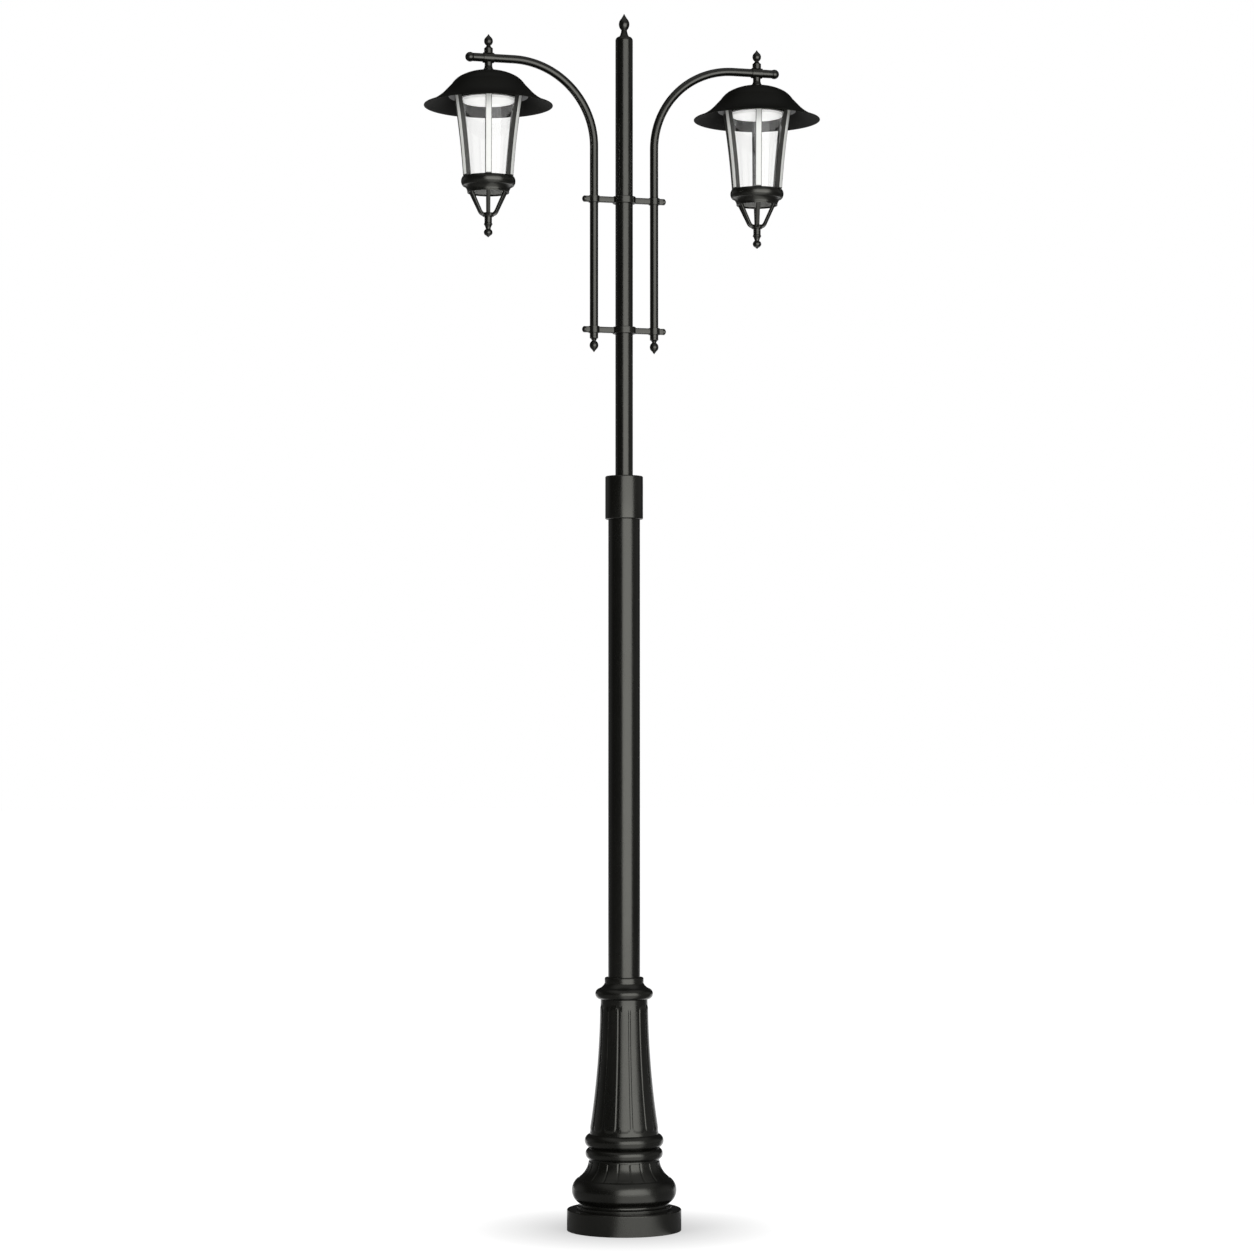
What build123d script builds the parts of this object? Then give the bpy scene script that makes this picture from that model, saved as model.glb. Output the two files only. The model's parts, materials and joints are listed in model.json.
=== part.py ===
from build123d import *
import os
from math import asin, cos, pi, sin, sqrt

# A two-lantern garden lamp post. Millimetres, +Z up, origin at the middle of the foot's underside.
# The arms lie along X. Radii end in _R, wall thicknesses in _WALL, and heights of a moulding in _RISE.

# Clearances
SEAT_GAP = 0.2  # round a piece that is fixed in another
RUN_GAP = 0.3  # round a piece that turns or slides in another

# Cast foot
FOOT_R = 136.3
FOOT_H = 50.0
FOOT_EDGE = 3.0
FOOT_WALL = 10.0
FOOT_DECK = 12.0
POLE_FLOOR = 12.0
CABLE_HOLE_R = 25.0
SOCKET_WALL = 9.0
SOCKET_RISE = 60.0
ANCHOR_PCD = 160.0
ANCHOR_COUNT = 4
ANCHOR_HOLE_R = 7.0
ANCHOR_BOSS_WALL = 9.0
WEB_T = 8.0
GUSSET_REACH = 34.0

# Lower pole with its hand hole
POLE_R = 38.0
POLE_WALL = 3.0
HAND_HOLE_W = 44.0
HAND_HOLE_H = 120.0
HAND_HOLE_Z = 390.0
HAND_HOLE_CORNER = 10.0
DOOR_T = 2.5
DOOR_LAP = 13.0
DOOR_SCREW_R = 2.4
DOOR_SCREW_HEAD_R = 4.5
DOOR_SCREW_HEAD_H = 2.6
DOOR_SCREW_LENGTH = 12.0
TERMINAL_W = 24.0
TERMINAL_D = 17.0
TERMINAL_H = 74.0
TERMINAL_WAYS = 5
TERMINAL_SCREW_R = 3.2
TERMINAL_SCREW_DEPTH = 5.0
EARTH_BOLT_R = 4.0
EARTH_NUT_R = 6.6
EARTH_NUT_T = 6.0
EARTH_BOLT_LENGTH = 24.0
EARTH_BELOW_HOLE = 40.0

# Base cover: a hollow casting that stands on the foot and slides up the pole
COVER_H = 550.0
COVER_WALL = 6.0
BAND_R = 113.0
BAND_RISE = 7.0
COVE_R = 106.0
COVE_RISE = 7.0
TORUS_R = 124.6
TORUS_RISE = 57.0
BELL_BOTTOM_R = 113.0
BELL_MID_R = 91.4
BELL_TOP_R = 83.0
BELL_RISE = 47.0
LOWER_RING_R = 92.2
LOWER_RING_RISE = 28.0
RING_GROOVE_R = 81.7
UPPER_RING_R = 94.0
UPPER_RING_RISE = 32.0
COLUMN_BOTTOM_R = 82.2
COLUMN_MID_R = 60.2
COLUMN_MID_SHARE = 0.61
COLUMN_TOP_R = 55.9
CROWN_R = 68.9
CROWN_RISE = 25.0
FLARE_R = 61.4
FLARE_RISE = 13.1
LIP_R = 46.4
LIP_RISE = 14.3
LIP_EDGE = 3.5
CEILING_T = 12.0
COLUMN_PANELS = 14
COLUMN_PANEL_SHARE = 0.82
COLUMN_PANEL_CORNER = 9.0
COLUMN_PANEL_TURN = -2.8
COLUMN_PANEL_INSET_LOW = 11.0
COLUMN_PANEL_INSET_HIGH = 17.0
BELL_PANELS = 20
BELL_PANEL_SHARE = 0.9
BELL_PANEL_CORNER = 1.5
BELL_PANEL_TURN = 2.3
BELL_PANEL_INSET = 3.5
PANEL_PROUD = 1.2
PANEL_ROOT = 2.0
COVER_SCREWS = 3
COVER_SCREW_R = 3.0

# Reducer collar between pole and mast
COLLAR_Z = 1695.7
COLLAR_R = 45.3
COLLAR_H = 104.0
COLLAR_SOCKET = 62.0
COLLAR_EDGE = 3.0
COLLAR_SCREWS = 3
COLLAR_SCREW_R = 4.0
COLLAR_SCREW_DROP = 20.0
SCREW_SOCKET_SHARE = 0.5
MAST_INSERT = 110.0
BUSH_H = 30.0
BUSH_FLOOR = 6.0
BUSH_HOLE_R = 15.0

# Mast and its top finial
MAST_R = 21.0
MAST_WALL = 3.0
MAST_ABOVE_ARM = 61.0
SHOULDER_RISE = 9.0
MAST_FINIAL_BASE_R = 11.8
MAST_FINIAL_NECK_R = 6.9
MAST_FINIAL_NECK = 16.5
MAST_FINIAL_BULGE_R = 12.8
MAST_FINIAL_BULGE = 30.0
MAST_FINIAL_TIP = 56.0
SPIGOT_LENGTH = 22.0

# Arms
ARM_R = 10.0
ARM_WALL = 2.5
ARM_X = 75.2
ARM_Z = 2794.0
ARM_BEND_R = 200.0
ARM_END_X = 371.5
ARM_TAIL = 15.8
ARM_BALL_R = 11.6
ARM_COLLAR_T = 3.0

# Brackets that tie the arms to the mast
UPPER_BRACKET_DROP = 127.2
BRACKET_PITCH = 315.3
BRACKET_BAR_H = 14.0
BRACKET_BAR_D = 13.0
BRACKET_EDGE = 2.5
BRACKET_BAND_R = 28.0
BRACKET_BAND_H = 16.0
BRACKET_EYE_R = 13.6
BRACKET_END = 96.0
KNOB_R = 7.6
KNOB_LENGTH = 8.7
KNOB_SHANK_R = 4.0

# Hanger at each arm's end, and the rod that the lantern hangs on
LANTERN_X = 336.5
HANGER_SLEEVE_R = 12.4
HANGER_SLEEVE_L = 26.0
HANGER_TOP_R = 10.4
HANGER_TOP_RISE = 23.0
HANGER_STEM_R = 9.4
HANGER_STEM_DROP = 20.0
ROD_R = 5.0
ROD_NUT_R = 9.5
ROD_NUT_T = 8.0
NUT_SIDES = 6
SMALL_FINIAL_NECK_R = 4.8
SMALL_FINIAL_NECK = 6.5
SMALL_FINIAL_BULGE_R = 10.5
SMALL_FINIAL_BULGE = 18.0
SMALL_FINIAL_TIP = 34.0
FINIAL_SPIGOT_R = 4.6
FINIAL_SPIGOT = 6.0

# Shade, as drops below the arm's centre line
LEFT_TURN = -12.7
RIGHT_TURN = -14.5
CAP_R = 13.8
CAP_RIM = 3.0
APEX_DROP = 32.0
DOME_R = 70.6
DOME_DROP = 48.0
DOME_CROWN_R = 40.0
DOME_CROWN_DROP = 35.5
SHOULDER_R = 88.4
SHOULDER_DROP = 66.0
BRIM_ROOT_R = 107.4
BRIM_ROOT_DROP = 86.0
BRIM_MID_R = 128.0
BRIM_MID_DROP = 102.0
RIM_R = 154.0
RIM_DROP = 114.0
SHADE_WALL = 2.0

# Light unit under the shade
PLATE_R = 95.0
PLATE_T = 6.0
PLATE_DROP = 94.0
POST_R = 5.0
POST_PITCH_R = 58.0
POST_COUNT = 3
BOARD_R = 58.0
BOARD_T = 1.6
DRIVER_L = 70.0
DRIVER_W = 40.0
DRIVER_H = 22.0
DRIVER_EDGE = 3.0
DIFFUSER_WALL = 2.5
DIFFUSER_DEPTH = 12.5
DIFFUSER_GAP = 1.0
GASKET_T = 3.0

# Cage of six ribs between two rings, with the glass inside it and a pale strip let into each rib
RIBS = 6
RIB_W = 15.0
RIB_T = 11.0
RIB_TOP_R = 88.7
RIB_MID_R = 72.7
RIB_MID_SHARE = 0.44
RIB_BOTTOM_R = 64.4
STRIP_W = 13.0
STRIP_T = 1.5
STRIP_END = 2.0
TOP_RING_WALL = 9.5
TOP_RING_H = 7.5
CAGE_SCREWS = 4
CAGE_SCREW_R = 1.6
CAGE_SCREW_HEAD_R = 3.0
CAGE_SCREW_HEAD_H = 2.4
CAGE_SCREW_LENGTH = 12.0
GLASS_WALL = 3.0
GLASS_SEAT = 6.0
LOWER_RING_DROP = 287.0
LOWER_RING_H = 21.0
LOWER_RING_TOP_R = 62.0
LOWER_RING_BULGE_R = 64.8
LOWER_RING_FOOT_R = 60.7
SKIRT_RISE = 13.0
SKIRT_TOP_R = 58.0
SKIRT_R = 50.0
SKIRT_WALL = 3.0

# Basket of six ribs under the cage, and its drop finial
BASKET_RIBS = 6
BASKET_RIB_W = 9.6
BASKET_RIB_T = 7.0
BASKET_RING_T = 4.0
BASKET_RING_WALL = 3.5
BASKET_H = 60.5
BASKET_KNEE_R = 23.5
BASKET_KNEE_RISE = 11.0
HUB_R = 14.0
HUB_H = 9.0
DROP_STEM_R = 8.9
DROP_STEM = 18.0
DROP_BEAD_R = 10.2
DROP_BEAD = 5.0
DROP_NECK_R = 5.8
DROP_NECK = 12.0
DROP_BULGE_R = 10.0
DROP_BULGE = 22.0
DROP_TIP = 31.5
DROP_SHANK_R = 4.0

# Heights worked out from the sizes above
COVER_Z = FOOT_H
POLE_TOP_Z = COLLAR_Z + COLLAR_SOCKET
COLLAR_TOP_Z = COLLAR_Z + COLLAR_H
MAST_Z = POLE_TOP_Z - MAST_INSERT
MAST_TOP_Z = ARM_Z + MAST_ABOVE_ARM
BEND_Z = ARM_Z - ARM_BEND_R
UPPER_BRACKET_Z = BEND_Z - UPPER_BRACKET_DROP
LOWER_BRACKET_Z = UPPER_BRACKET_Z - BRACKET_PITCH
ARM_FOOT_Z = LOWER_BRACKET_Z - ARM_TAIL
STEM_END_Z = ARM_Z - HANGER_STEM_DROP
PLATE_Z = ARM_Z - PLATE_DROP
LOWER_RING_Z = ARM_Z - LOWER_RING_DROP
SKIRT_Z = LOWER_RING_Z - LOWER_RING_H - SKIRT_RISE
HUB_Z = SKIRT_Z - BASKET_H
POLE_BORE_R = POLE_R - POLE_WALL
TOP_RING_Z = PLATE_Z - TOP_RING_H
GLASS_BOTTOM_R = RIB_BOTTOM_R - RIB_T - SEAT_GAP
BIG = 1000.0  # longer than any cut that it makes


def rib_side(inward):
    """Bottom, middle and top of the rib's hollow outer side, moved in by a distance."""
    mid_z = LOWER_RING_Z + RIB_MID_SHARE * (PLATE_Z - LOWER_RING_Z)
    return ((RIB_BOTTOM_R - inward, LOWER_RING_Z), (RIB_MID_R - inward, mid_z), (RIB_TOP_R - inward, PLATE_Z))


def radius_at(arc, height):
    """Radius of an arc through three points, at a height that it passes once."""
    (r1, z1), (r2, z2), (r3, z3) = arc
    twice = 2 * (r1 * (z2 - z3) + r2 * (z3 - z1) + r3 * (z1 - z2))
    s1, s2, s3 = r1**2 + z1**2, r2**2 + z2**2, r3**2 + z3**2
    centre_r = (s1 * (z2 - z3) + s2 * (z3 - z1) + s3 * (z1 - z2)) / twice
    centre_z = (s1 * (r3 - r2) + s2 * (r1 - r3) + s3 * (r2 - r1)) / twice
    reach = sqrt((r2 - centre_r) ** 2 + (z2 - centre_z) ** 2 - (height - centre_z) ** 2)
    return centre_r - reach if centre_r > r2 else centre_r + reach


TOP_RING_R = RIB_TOP_R - RIB_T - SEAT_GAP
TOP_RING_LOW_R = radius_at(rib_side(RIB_T), TOP_RING_Z) - SEAT_GAP
TOP_RING_BORE_R = TOP_RING_LOW_R - TOP_RING_WALL
GLASS_TOP_R = TOP_RING_BORE_R - SEAT_GAP


def outline(start, *steps):
    """Closed face in the XZ plane: a point is a straight run, a pair is an arc through the first to the second."""
    edges = []
    here = start
    for step in steps:
        if isinstance(step[0], tuple):
            via, end = step
            edges.append(ThreePointArc(flat(here), flat(via), flat(end)))
        else:
            end = step
            edges.append(Line(flat(here), flat(end)))
        here = end
    if here != start:
        edges.append(Line(flat(here), flat(start)))
    return make_face([edge for curve in edges for edge in curve.edges()])


def flat(point):
    """A radius and a height as a point of the XZ plane."""
    return (point[0], 0, point[1])


def turned(start, *steps, arc=360):
    """Solid of revolution about Z of the outline."""
    return revolve(outline(start, *steps), Axis.Z, revolution_arc=arc)


def rod(radius, low, high, inner=0.0):
    """Upright round bar or tube from one height to another."""
    if inner:
        return turned((inner, low), (radius, low), (radius, high), (inner, high))
    return Pos(0, 0, low) * Cylinder(radius, high - low, align=(Align.CENTER, Align.CENTER, Align.MIN))


def spoke(radius, inner, outer, height, angle):
    """Level round bar that points away from Z, from one distance to another."""
    bar = Cylinder(radius, outer - inner, align=(Align.CENTER, Align.CENTER, Align.MIN))
    return Rot(0, 0, angle) * Pos(inner, 0, height) * Rot(0, 90, 0) * bar


def around(shape, count, first=0.0):
    """Copies of a shape, evenly spaced about Z."""
    return [Rot(0, 0, first + i * 360 / count) * shape for i in range(count)]


def group(shapes):
    """Separate solids of one node."""
    return Compound(children=[solid for shape in shapes for solid in shape.solids()])


def hex_nut(across_corners, thickness, bore, low):
    """Nut standing on a height, with its bore along Z."""
    blank = extrude(RegularPolygon(across_corners, NUT_SIDES), thickness)
    return Pos(0, 0, low) * blank - rod(bore, low - 1, low + thickness + 1)


def spear(base, level, neck_r, neck, bulge_r, bulge, tip, way=1):
    """Steps of a turned finial above (way 1) or below (way -1) a level: waist, bulge, then a pointed tip."""
    after = bulge + 0.45 * (tip - bulge)
    return [
        ((0.35 * base + 0.65 * neck_r, level + way * 0.45 * neck), (neck_r, level + way * neck)),
        ((bulge_r, level + way * bulge), (0.72 * bulge_r, level + way * after)),
        (0, level + way * tip),
    ]


def dome(radius, low, high):
    """Step of a ball-shaped cap from a rim up to the axis."""
    cap = high - low
    ball = (radius**2 + cap**2) / (2 * cap)
    half = asin(min(1.0, radius / ball)) / 2
    return ((ball * sin(half), high - ball * (1 - cos(half))), (0, high))


def foot_casting():
    """Round foot, hollow below, with the pole's socket, four anchor bosses, webs and gussets."""
    bore = POLE_R + SEAT_GAP
    hub = bore + SOCKET_WALL
    top = FOOT_H + SOCKET_RISE
    deck = FOOT_H - FOOT_DECK
    rim = FOOT_R - FOOT_EDGE
    round_mid = rim + FOOT_EDGE * sin(pi / 4), FOOT_H - FOOT_EDGE * (1 - cos(pi / 4))
    body = turned(
        (CABLE_HOLE_R, 0), (hub, 0), (hub, deck), (FOOT_R - FOOT_WALL, deck), (FOOT_R - FOOT_WALL, 0), (FOOT_R, 0),
        (FOOT_R, FOOT_H - FOOT_EDGE), (round_mid, (rim, FOOT_H)), (hub, FOOT_H), (hub, top), (bore, top),
        (bore, POLE_FLOOR), (CABLE_HOLE_R, POLE_FLOOR),
    )
    boss = Pos(ANCHOR_PCD / 2, 0, 0) * rod(ANCHOR_HOLE_R + ANCHOR_BOSS_WALL, 0, FOOT_H)
    hole = Pos(ANCHOR_PCD / 2, 0, 0) * rod(ANCHOR_HOLE_R, -1, FOOT_H + 1)
    web_length = FOOT_R - FOOT_WALL / 2 - (hub - SOCKET_WALL / 2)
    web = Pos(hub - SOCKET_WALL / 2 + web_length / 2, 0, (deck + 1) / 2) * Box(web_length, WEB_T, deck + 1)
    root = hub - SOCKET_WALL / 2
    gusset = extrude(outline((root, deck), (hub + GUSSET_REACH, deck), (hub + GUSSET_REACH, FOOT_H),
                             (hub + 2, top - 6), (root, top - 6)), WEB_T / 2, both=True)
    half = 180 / ANCHOR_COUNT
    body = body.fuse(*around(boss, ANCHOR_COUNT, half), *around(web, ANCHOR_COUNT), *around(gusset, ANCHOR_COUNT))
    return body.cut(*around(hole, ANCHOR_COUNT, half))


def door_outline(grow):
    """Rounded upright rectangle in the XZ plane, round the hand hole, grown by a margin."""
    corner = HAND_HOLE_CORNER + grow / 2
    behind = Plane(origin=(0, 0, HAND_HOLE_Z), x_dir=(1, 0, 0), z_dir=(0, 1, 0))
    return behind * RectangleRounded(HAND_HOLE_W + grow, HAND_HOLE_H + 2 * grow, corner)


def door_screw_places():
    """Heights of the two screws above and below the hand hole."""
    reach = HAND_HOLE_H / 2 + DOOR_LAP / 2
    return (HAND_HOLE_Z - reach, HAND_HOLE_Z + reach)


def earth_z():
    """Height of the earth bolt, under the terminal block."""
    return HAND_HOLE_Z - TERMINAL_H / 2 - EARTH_BELOW_HOLE


def lower_pole():
    """Round tube with a hand hole behind and holes for the door's screws and the earth bolt."""
    tube = rod(POLE_R, POLE_FLOOR, POLE_TOP_Z, POLE_BORE_R)
    cuts = [extrude(door_outline(0), BIG)]
    for z in door_screw_places():
        cuts.append(spoke(DOOR_SCREW_R + SEAT_GAP, POLE_BORE_R / 2, POLE_R + 1, z, 90))
    cuts.append(spoke(EARTH_BOLT_R + SEAT_GAP, POLE_BORE_R / 2, POLE_R + 1, earth_z(), -90))
    return tube.cut(*cuts)


def hand_hole_door():
    """Curved plate that laps the hand hole."""
    inner = POLE_R + SEAT_GAP
    low = HAND_HOLE_Z - HAND_HOLE_H
    shell = rod(inner + DOOR_T, low, HAND_HOLE_Z + HAND_HOLE_H, inner)
    plate = shell & extrude(door_outline(DOOR_LAP), BIG)
    holes = [spoke(DOOR_SCREW_R + SEAT_GAP, POLE_R / 2, POLE_R + DOOR_T + 5, z, 90) for z in door_screw_places()]
    return plate.cut(*holes)


def door_screws():
    """Two pan-head screws through door and pole."""
    seat = POLE_R + SEAT_GAP + DOOR_T
    screws = []
    for z in door_screw_places():
        head = spoke(DOOR_SCREW_HEAD_R, seat, seat + DOOR_SCREW_HEAD_H, z, 90)
        screws.append(head + spoke(DOOR_SCREW_R, seat - DOOR_SCREW_LENGTH, seat + 1, z, 90))
    return group(screws)


def terminal_block():
    """Row of terminals on the pole's inner wall, facing the hand hole."""
    back = -sqrt((POLE_BORE_R - SEAT_GAP) ** 2 - (TERMINAL_W / 2) ** 2)
    block = Pos(0, back + TERMINAL_D / 2, HAND_HOLE_Z) * Box(TERMINAL_W, TERMINAL_D, TERMINAL_H)
    pitch = TERMINAL_H / TERMINAL_WAYS
    holes = []
    for i in range(TERMINAL_WAYS):
        for side in (-1, 1):
            place = Pos(side * TERMINAL_W / 4, back + TERMINAL_D, HAND_HOLE_Z + (i - (TERMINAL_WAYS - 1) / 2) * pitch)
            holes.append(place * Rot(90, 0, 0) * Cylinder(TERMINAL_SCREW_R, 2 * TERMINAL_SCREW_DEPTH))
    return block.cut(*holes)


def earth_stud():
    """Earth bolt through the pole's wall, with its nut inside."""
    seat = POLE_R + SEAT_GAP
    nut_back = sqrt((POLE_BORE_R - SEAT_GAP) ** 2 - EARTH_NUT_R**2)
    head = extrude(RegularPolygon(EARTH_NUT_R, NUT_SIDES), EARTH_NUT_T)
    lie = Rot(0, 0, -90) * Pos(seat, 0, earth_z()) * Rot(0, 90, 0)
    bolt = lie * head + spoke(EARTH_BOLT_R, seat - EARTH_BOLT_LENGTH, seat + 1, earth_z(), -90)
    nut = Rot(0, 0, -90) * Pos(nut_back - EARTH_NUT_T, 0, earth_z()) * Rot(0, 90, 0) * head
    nut -= spoke(EARTH_BOLT_R + SEAT_GAP, 0, POLE_R, earth_z(), -90)
    return group([bolt, nut])


def cover_levels():
    """Heights of the base cover's mouldings, from its seat up."""
    names = ("band", "cove", "torus", "bell", "lower_ring", "upper_ring")
    rises = (BAND_RISE, COVE_RISE, TORUS_RISE, BELL_RISE, LOWER_RING_RISE, UPPER_RING_RISE)
    levels = {}
    here = COVER_Z
    for name, rise in zip(names, rises):
        here += rise
        levels[name] = here
    levels["lip"] = COVER_Z + COVER_H
    levels["flare"] = levels["lip"] - LIP_RISE
    levels["crown"] = levels["flare"] - FLARE_RISE
    levels["column"] = levels["crown"] - CROWN_RISE
    levels["column_mid"] = levels["upper_ring"] + COLUMN_MID_SHARE * (levels["column"] - levels["upper_ring"])
    levels["bell_mid"] = levels["torus"] + 0.42 * BELL_RISE
    return levels


def middle(low, high):
    """Half way between two heights."""
    return (low + high) / 2


def column_arc(levels, grow):
    """Start, middle and end of the column's flaring side, moved out by a distance."""
    return (
        (COLUMN_BOTTOM_R + grow, levels["upper_ring"]),
        (COLUMN_MID_R + grow, levels["column_mid"]),
        (COLUMN_TOP_R + grow, levels["column"]),
    )


def bell_arc(levels, grow):
    """Start, middle and end of the bell's hollow side, moved out by a distance."""
    return (
        (BELL_BOTTOM_R + grow, levels["torus"]),
        (BELL_MID_R + grow, levels["bell_mid"]),
        (BELL_TOP_R + grow, levels["bell"]),
    )


def raised_panels(arc, levels, count, turn, share, corner, low, high):
    """Panels that stand proud of a turned side, each a short turn of it with rounded corners."""
    inner = arc(levels, -PANEL_ROOT)
    outer = arc(levels, PANEL_PROUD)
    width = share * 360 / count
    strip = turned(inner[0], outer[0], (outer[1], outer[2]), inner[2], (inner[1], inner[0]), arc=width)
    strip &= rod(BIG, low, high)
    panel = fillet(strip.edges().filter_by(GeomType.LINE), corner)
    return around(panel, count, turn - width / 2)


def base_cover():
    """Hollow ornamental casting: band, cove, torus, panelled bell, two rings, panelled column, crown and lip."""
    at = cover_levels()
    low, mid, top = column_arc(at, 0)
    bell_low, bell_mid, bell_top = bell_arc(at, 0)
    bore = POLE_R + RUN_GAP
    ceiling = at["crown"] - CEILING_T
    in_low, in_mid, in_top = column_arc(at, -COVER_WALL)
    bell_in_low, bell_in_mid, bell_in_top = bell_arc(at, -COVER_WALL)
    groove_in = RING_GROOVE_R - COVER_WALL
    lip_in = LIP_R - LIP_EDGE
    lip_mid = lip_in + LIP_EDGE * sin(pi / 4), at["lip"] - LIP_EDGE * (1 - cos(pi / 4))
    cover = turned(
        (COVE_R - COVER_WALL, COVER_Z), (BAND_R, COVER_Z), (BAND_R, at["band"]),
        (COVE_R, at["cove"]),
        ((TORUS_R, middle(at["cove"], at["torus"])), bell_low),
        (bell_mid, bell_top),
        ((LOWER_RING_R, middle(at["bell"], at["lower_ring"])), (RING_GROOVE_R, at["lower_ring"])),
        ((UPPER_RING_R, middle(at["lower_ring"], at["upper_ring"])), low),
        (mid, top),
        ((CROWN_R, middle(at["column"], at["crown"])), (FLARE_R, at["crown"])),
        ((0.35 * FLARE_R + 0.65 * LIP_R, at["crown"] + 0.45 * FLARE_RISE), (LIP_R, at["flare"])),
        (LIP_R, at["lip"] - LIP_EDGE), (lip_mid, (lip_in, at["lip"])),
        (bore, at["lip"]), (bore, at["crown"]), (in_top[0], ceiling), in_top, (in_mid, in_low),
        (groove_in, at["lower_ring"]), bell_in_top, (bell_in_mid, bell_in_low),
        (COVE_R - COVER_WALL, at["cove"]),
    )
    panels = raised_panels(column_arc, at, COLUMN_PANELS, COLUMN_PANEL_TURN, COLUMN_PANEL_SHARE,
                           COLUMN_PANEL_CORNER, at["upper_ring"] + COLUMN_PANEL_INSET_LOW,
                           at["column"] - COLUMN_PANEL_INSET_HIGH)
    panels += raised_panels(bell_arc, at, BELL_PANELS, BELL_PANEL_TURN, BELL_PANEL_SHARE,
                            BELL_PANEL_CORNER, at["torus"] + BELL_PANEL_INSET, at["bell"] - BELL_PANEL_INSET)
    holes = around(spoke(COVER_SCREW_R + SEAT_GAP, POLE_R / 2, LIP_R + 1, cover_screw_z(), 0), COVER_SCREWS, 90)
    return cover.fuse(*panels).cut(*holes)


def cover_screw_z():
    """Height of the base cover's grub screws, half way up its lip."""
    return COVER_Z + COVER_H - LIP_RISE / 2


def grub_screws(radius, inner, outer, height, count):
    """Headless screws that point at the post's axis, each with a socket in its outer end."""
    screw = spoke(radius, inner, outer, height, 0)
    screw -= spoke(SCREW_SOCKET_SHARE * radius, outer - radius, outer + 1, height, 0)
    return group(around(screw, count, 90))


def reducer_collar():
    """Turned collar: a socket for the pole below, a bore for the mast above, and holes for its screws."""
    socket = POLE_R + SEAT_GAP
    bore = MAST_R + RUN_GAP
    blank = turned((socket, COLLAR_Z), (COLLAR_R, COLLAR_Z), (COLLAR_R, COLLAR_TOP_Z), (bore, COLLAR_TOP_Z),
                   (bore, POLE_TOP_Z), (socket, POLE_TOP_Z))
    circles = blank.edges().filter_by(GeomType.CIRCLE)
    rims = [edge for edge in circles if abs(edge.radius - COLLAR_R) < SEAT_GAP]
    blank = fillet(rims, min(COLLAR_EDGE, 0.45 * (COLLAR_R - socket)))
    hole = spoke(COLLAR_SCREW_R + SEAT_GAP, MAST_R / 2, COLLAR_R + 1, COLLAR_TOP_Z - COLLAR_SCREW_DROP, 0)
    return blank.cut(*around(hole, COLLAR_SCREWS, 90))


def mast_bush():
    """Plastic bush in the pole that steadies and carries the mast's lower end."""
    outer = POLE_BORE_R - SEAT_GAP
    floor = MAST_Z - RUN_GAP
    bore = MAST_R + RUN_GAP
    return turned((BUSH_HOLE_R, floor - BUSH_FLOOR), (outer, floor - BUSH_FLOOR), (outer, floor + BUSH_H),
                  (bore, floor + BUSH_H), (bore, floor), (BUSH_HOLE_R, floor))


def mast_finial():
    """Turned top: a spigot in the mast, a rounded shoulder, then the finial."""
    plug = MAST_R - MAST_WALL - SEAT_GAP
    base = MAST_TOP_Z + SHOULDER_RISE
    shoulder = ((0.7 * MAST_R + 0.3 * MAST_FINIAL_BASE_R, MAST_TOP_Z + 0.7 * SHOULDER_RISE),
                (MAST_FINIAL_BASE_R, base))
    steps = spear(MAST_FINIAL_BASE_R, base, MAST_FINIAL_NECK_R, MAST_FINIAL_NECK, MAST_FINIAL_BULGE_R,
                  MAST_FINIAL_BULGE, MAST_FINIAL_TIP)
    return turned((0, MAST_TOP_Z - SPIGOT_LENGTH), (plug, MAST_TOP_Z - SPIGOT_LENGTH), (plug, MAST_TOP_Z),
                  (MAST_R, MAST_TOP_Z), shoulder, *steps)


def arm(side):
    """Bent tube: up beside the mast, round a quarter bend and out past the lantern."""
    x = side * ARM_X
    bend = ThreePointArc(
        (x, 0, BEND_Z),
        (x + side * ARM_BEND_R * (1 - cos(pi / 4)), 0, BEND_Z + ARM_BEND_R * sin(pi / 4)),
        (x + side * ARM_BEND_R, 0, ARM_Z),
    )
    upright = Line((x, 0, ARM_FOOT_Z), (x, 0, BEND_Z))
    level = Line((x + side * ARM_BEND_R, 0, ARM_Z), (side * ARM_END_X, 0, ARM_Z))
    section = Pos(x, 0, ARM_FOOT_Z) * (Circle(ARM_R) - Circle(ARM_R - ARM_WALL))
    tube = sweep(section, path=upright + bend + level)
    rod_hole = Pos(side * LANTERN_X, 0, 0) * rod(ROD_R + SEAT_GAP, ARM_Z - 2 * ARM_R, ARM_Z + 2 * ARM_R)
    return tube - rod_hole


def arm_foot(side):
    """Finial that closes the arm's lower end."""
    plug = ARM_R - ARM_WALL - SEAT_GAP
    bead = ARM_FOOT_Z - DROP_BEAD
    shape = turned(
        (0, ARM_FOOT_Z + SPIGOT_LENGTH), (plug, ARM_FOOT_Z + SPIGOT_LENGTH), (plug, ARM_FOOT_Z),
        (ARM_R, ARM_FOOT_Z), (ARM_R, bead),
        *spear(ARM_R, bead, SMALL_FINIAL_NECK_R, SMALL_FINIAL_NECK, SMALL_FINIAL_BULGE_R, SMALL_FINIAL_BULGE,
               SMALL_FINIAL_TIP, way=-1),
    )
    return Pos(side * ARM_X, 0, 0) * shape


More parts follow.
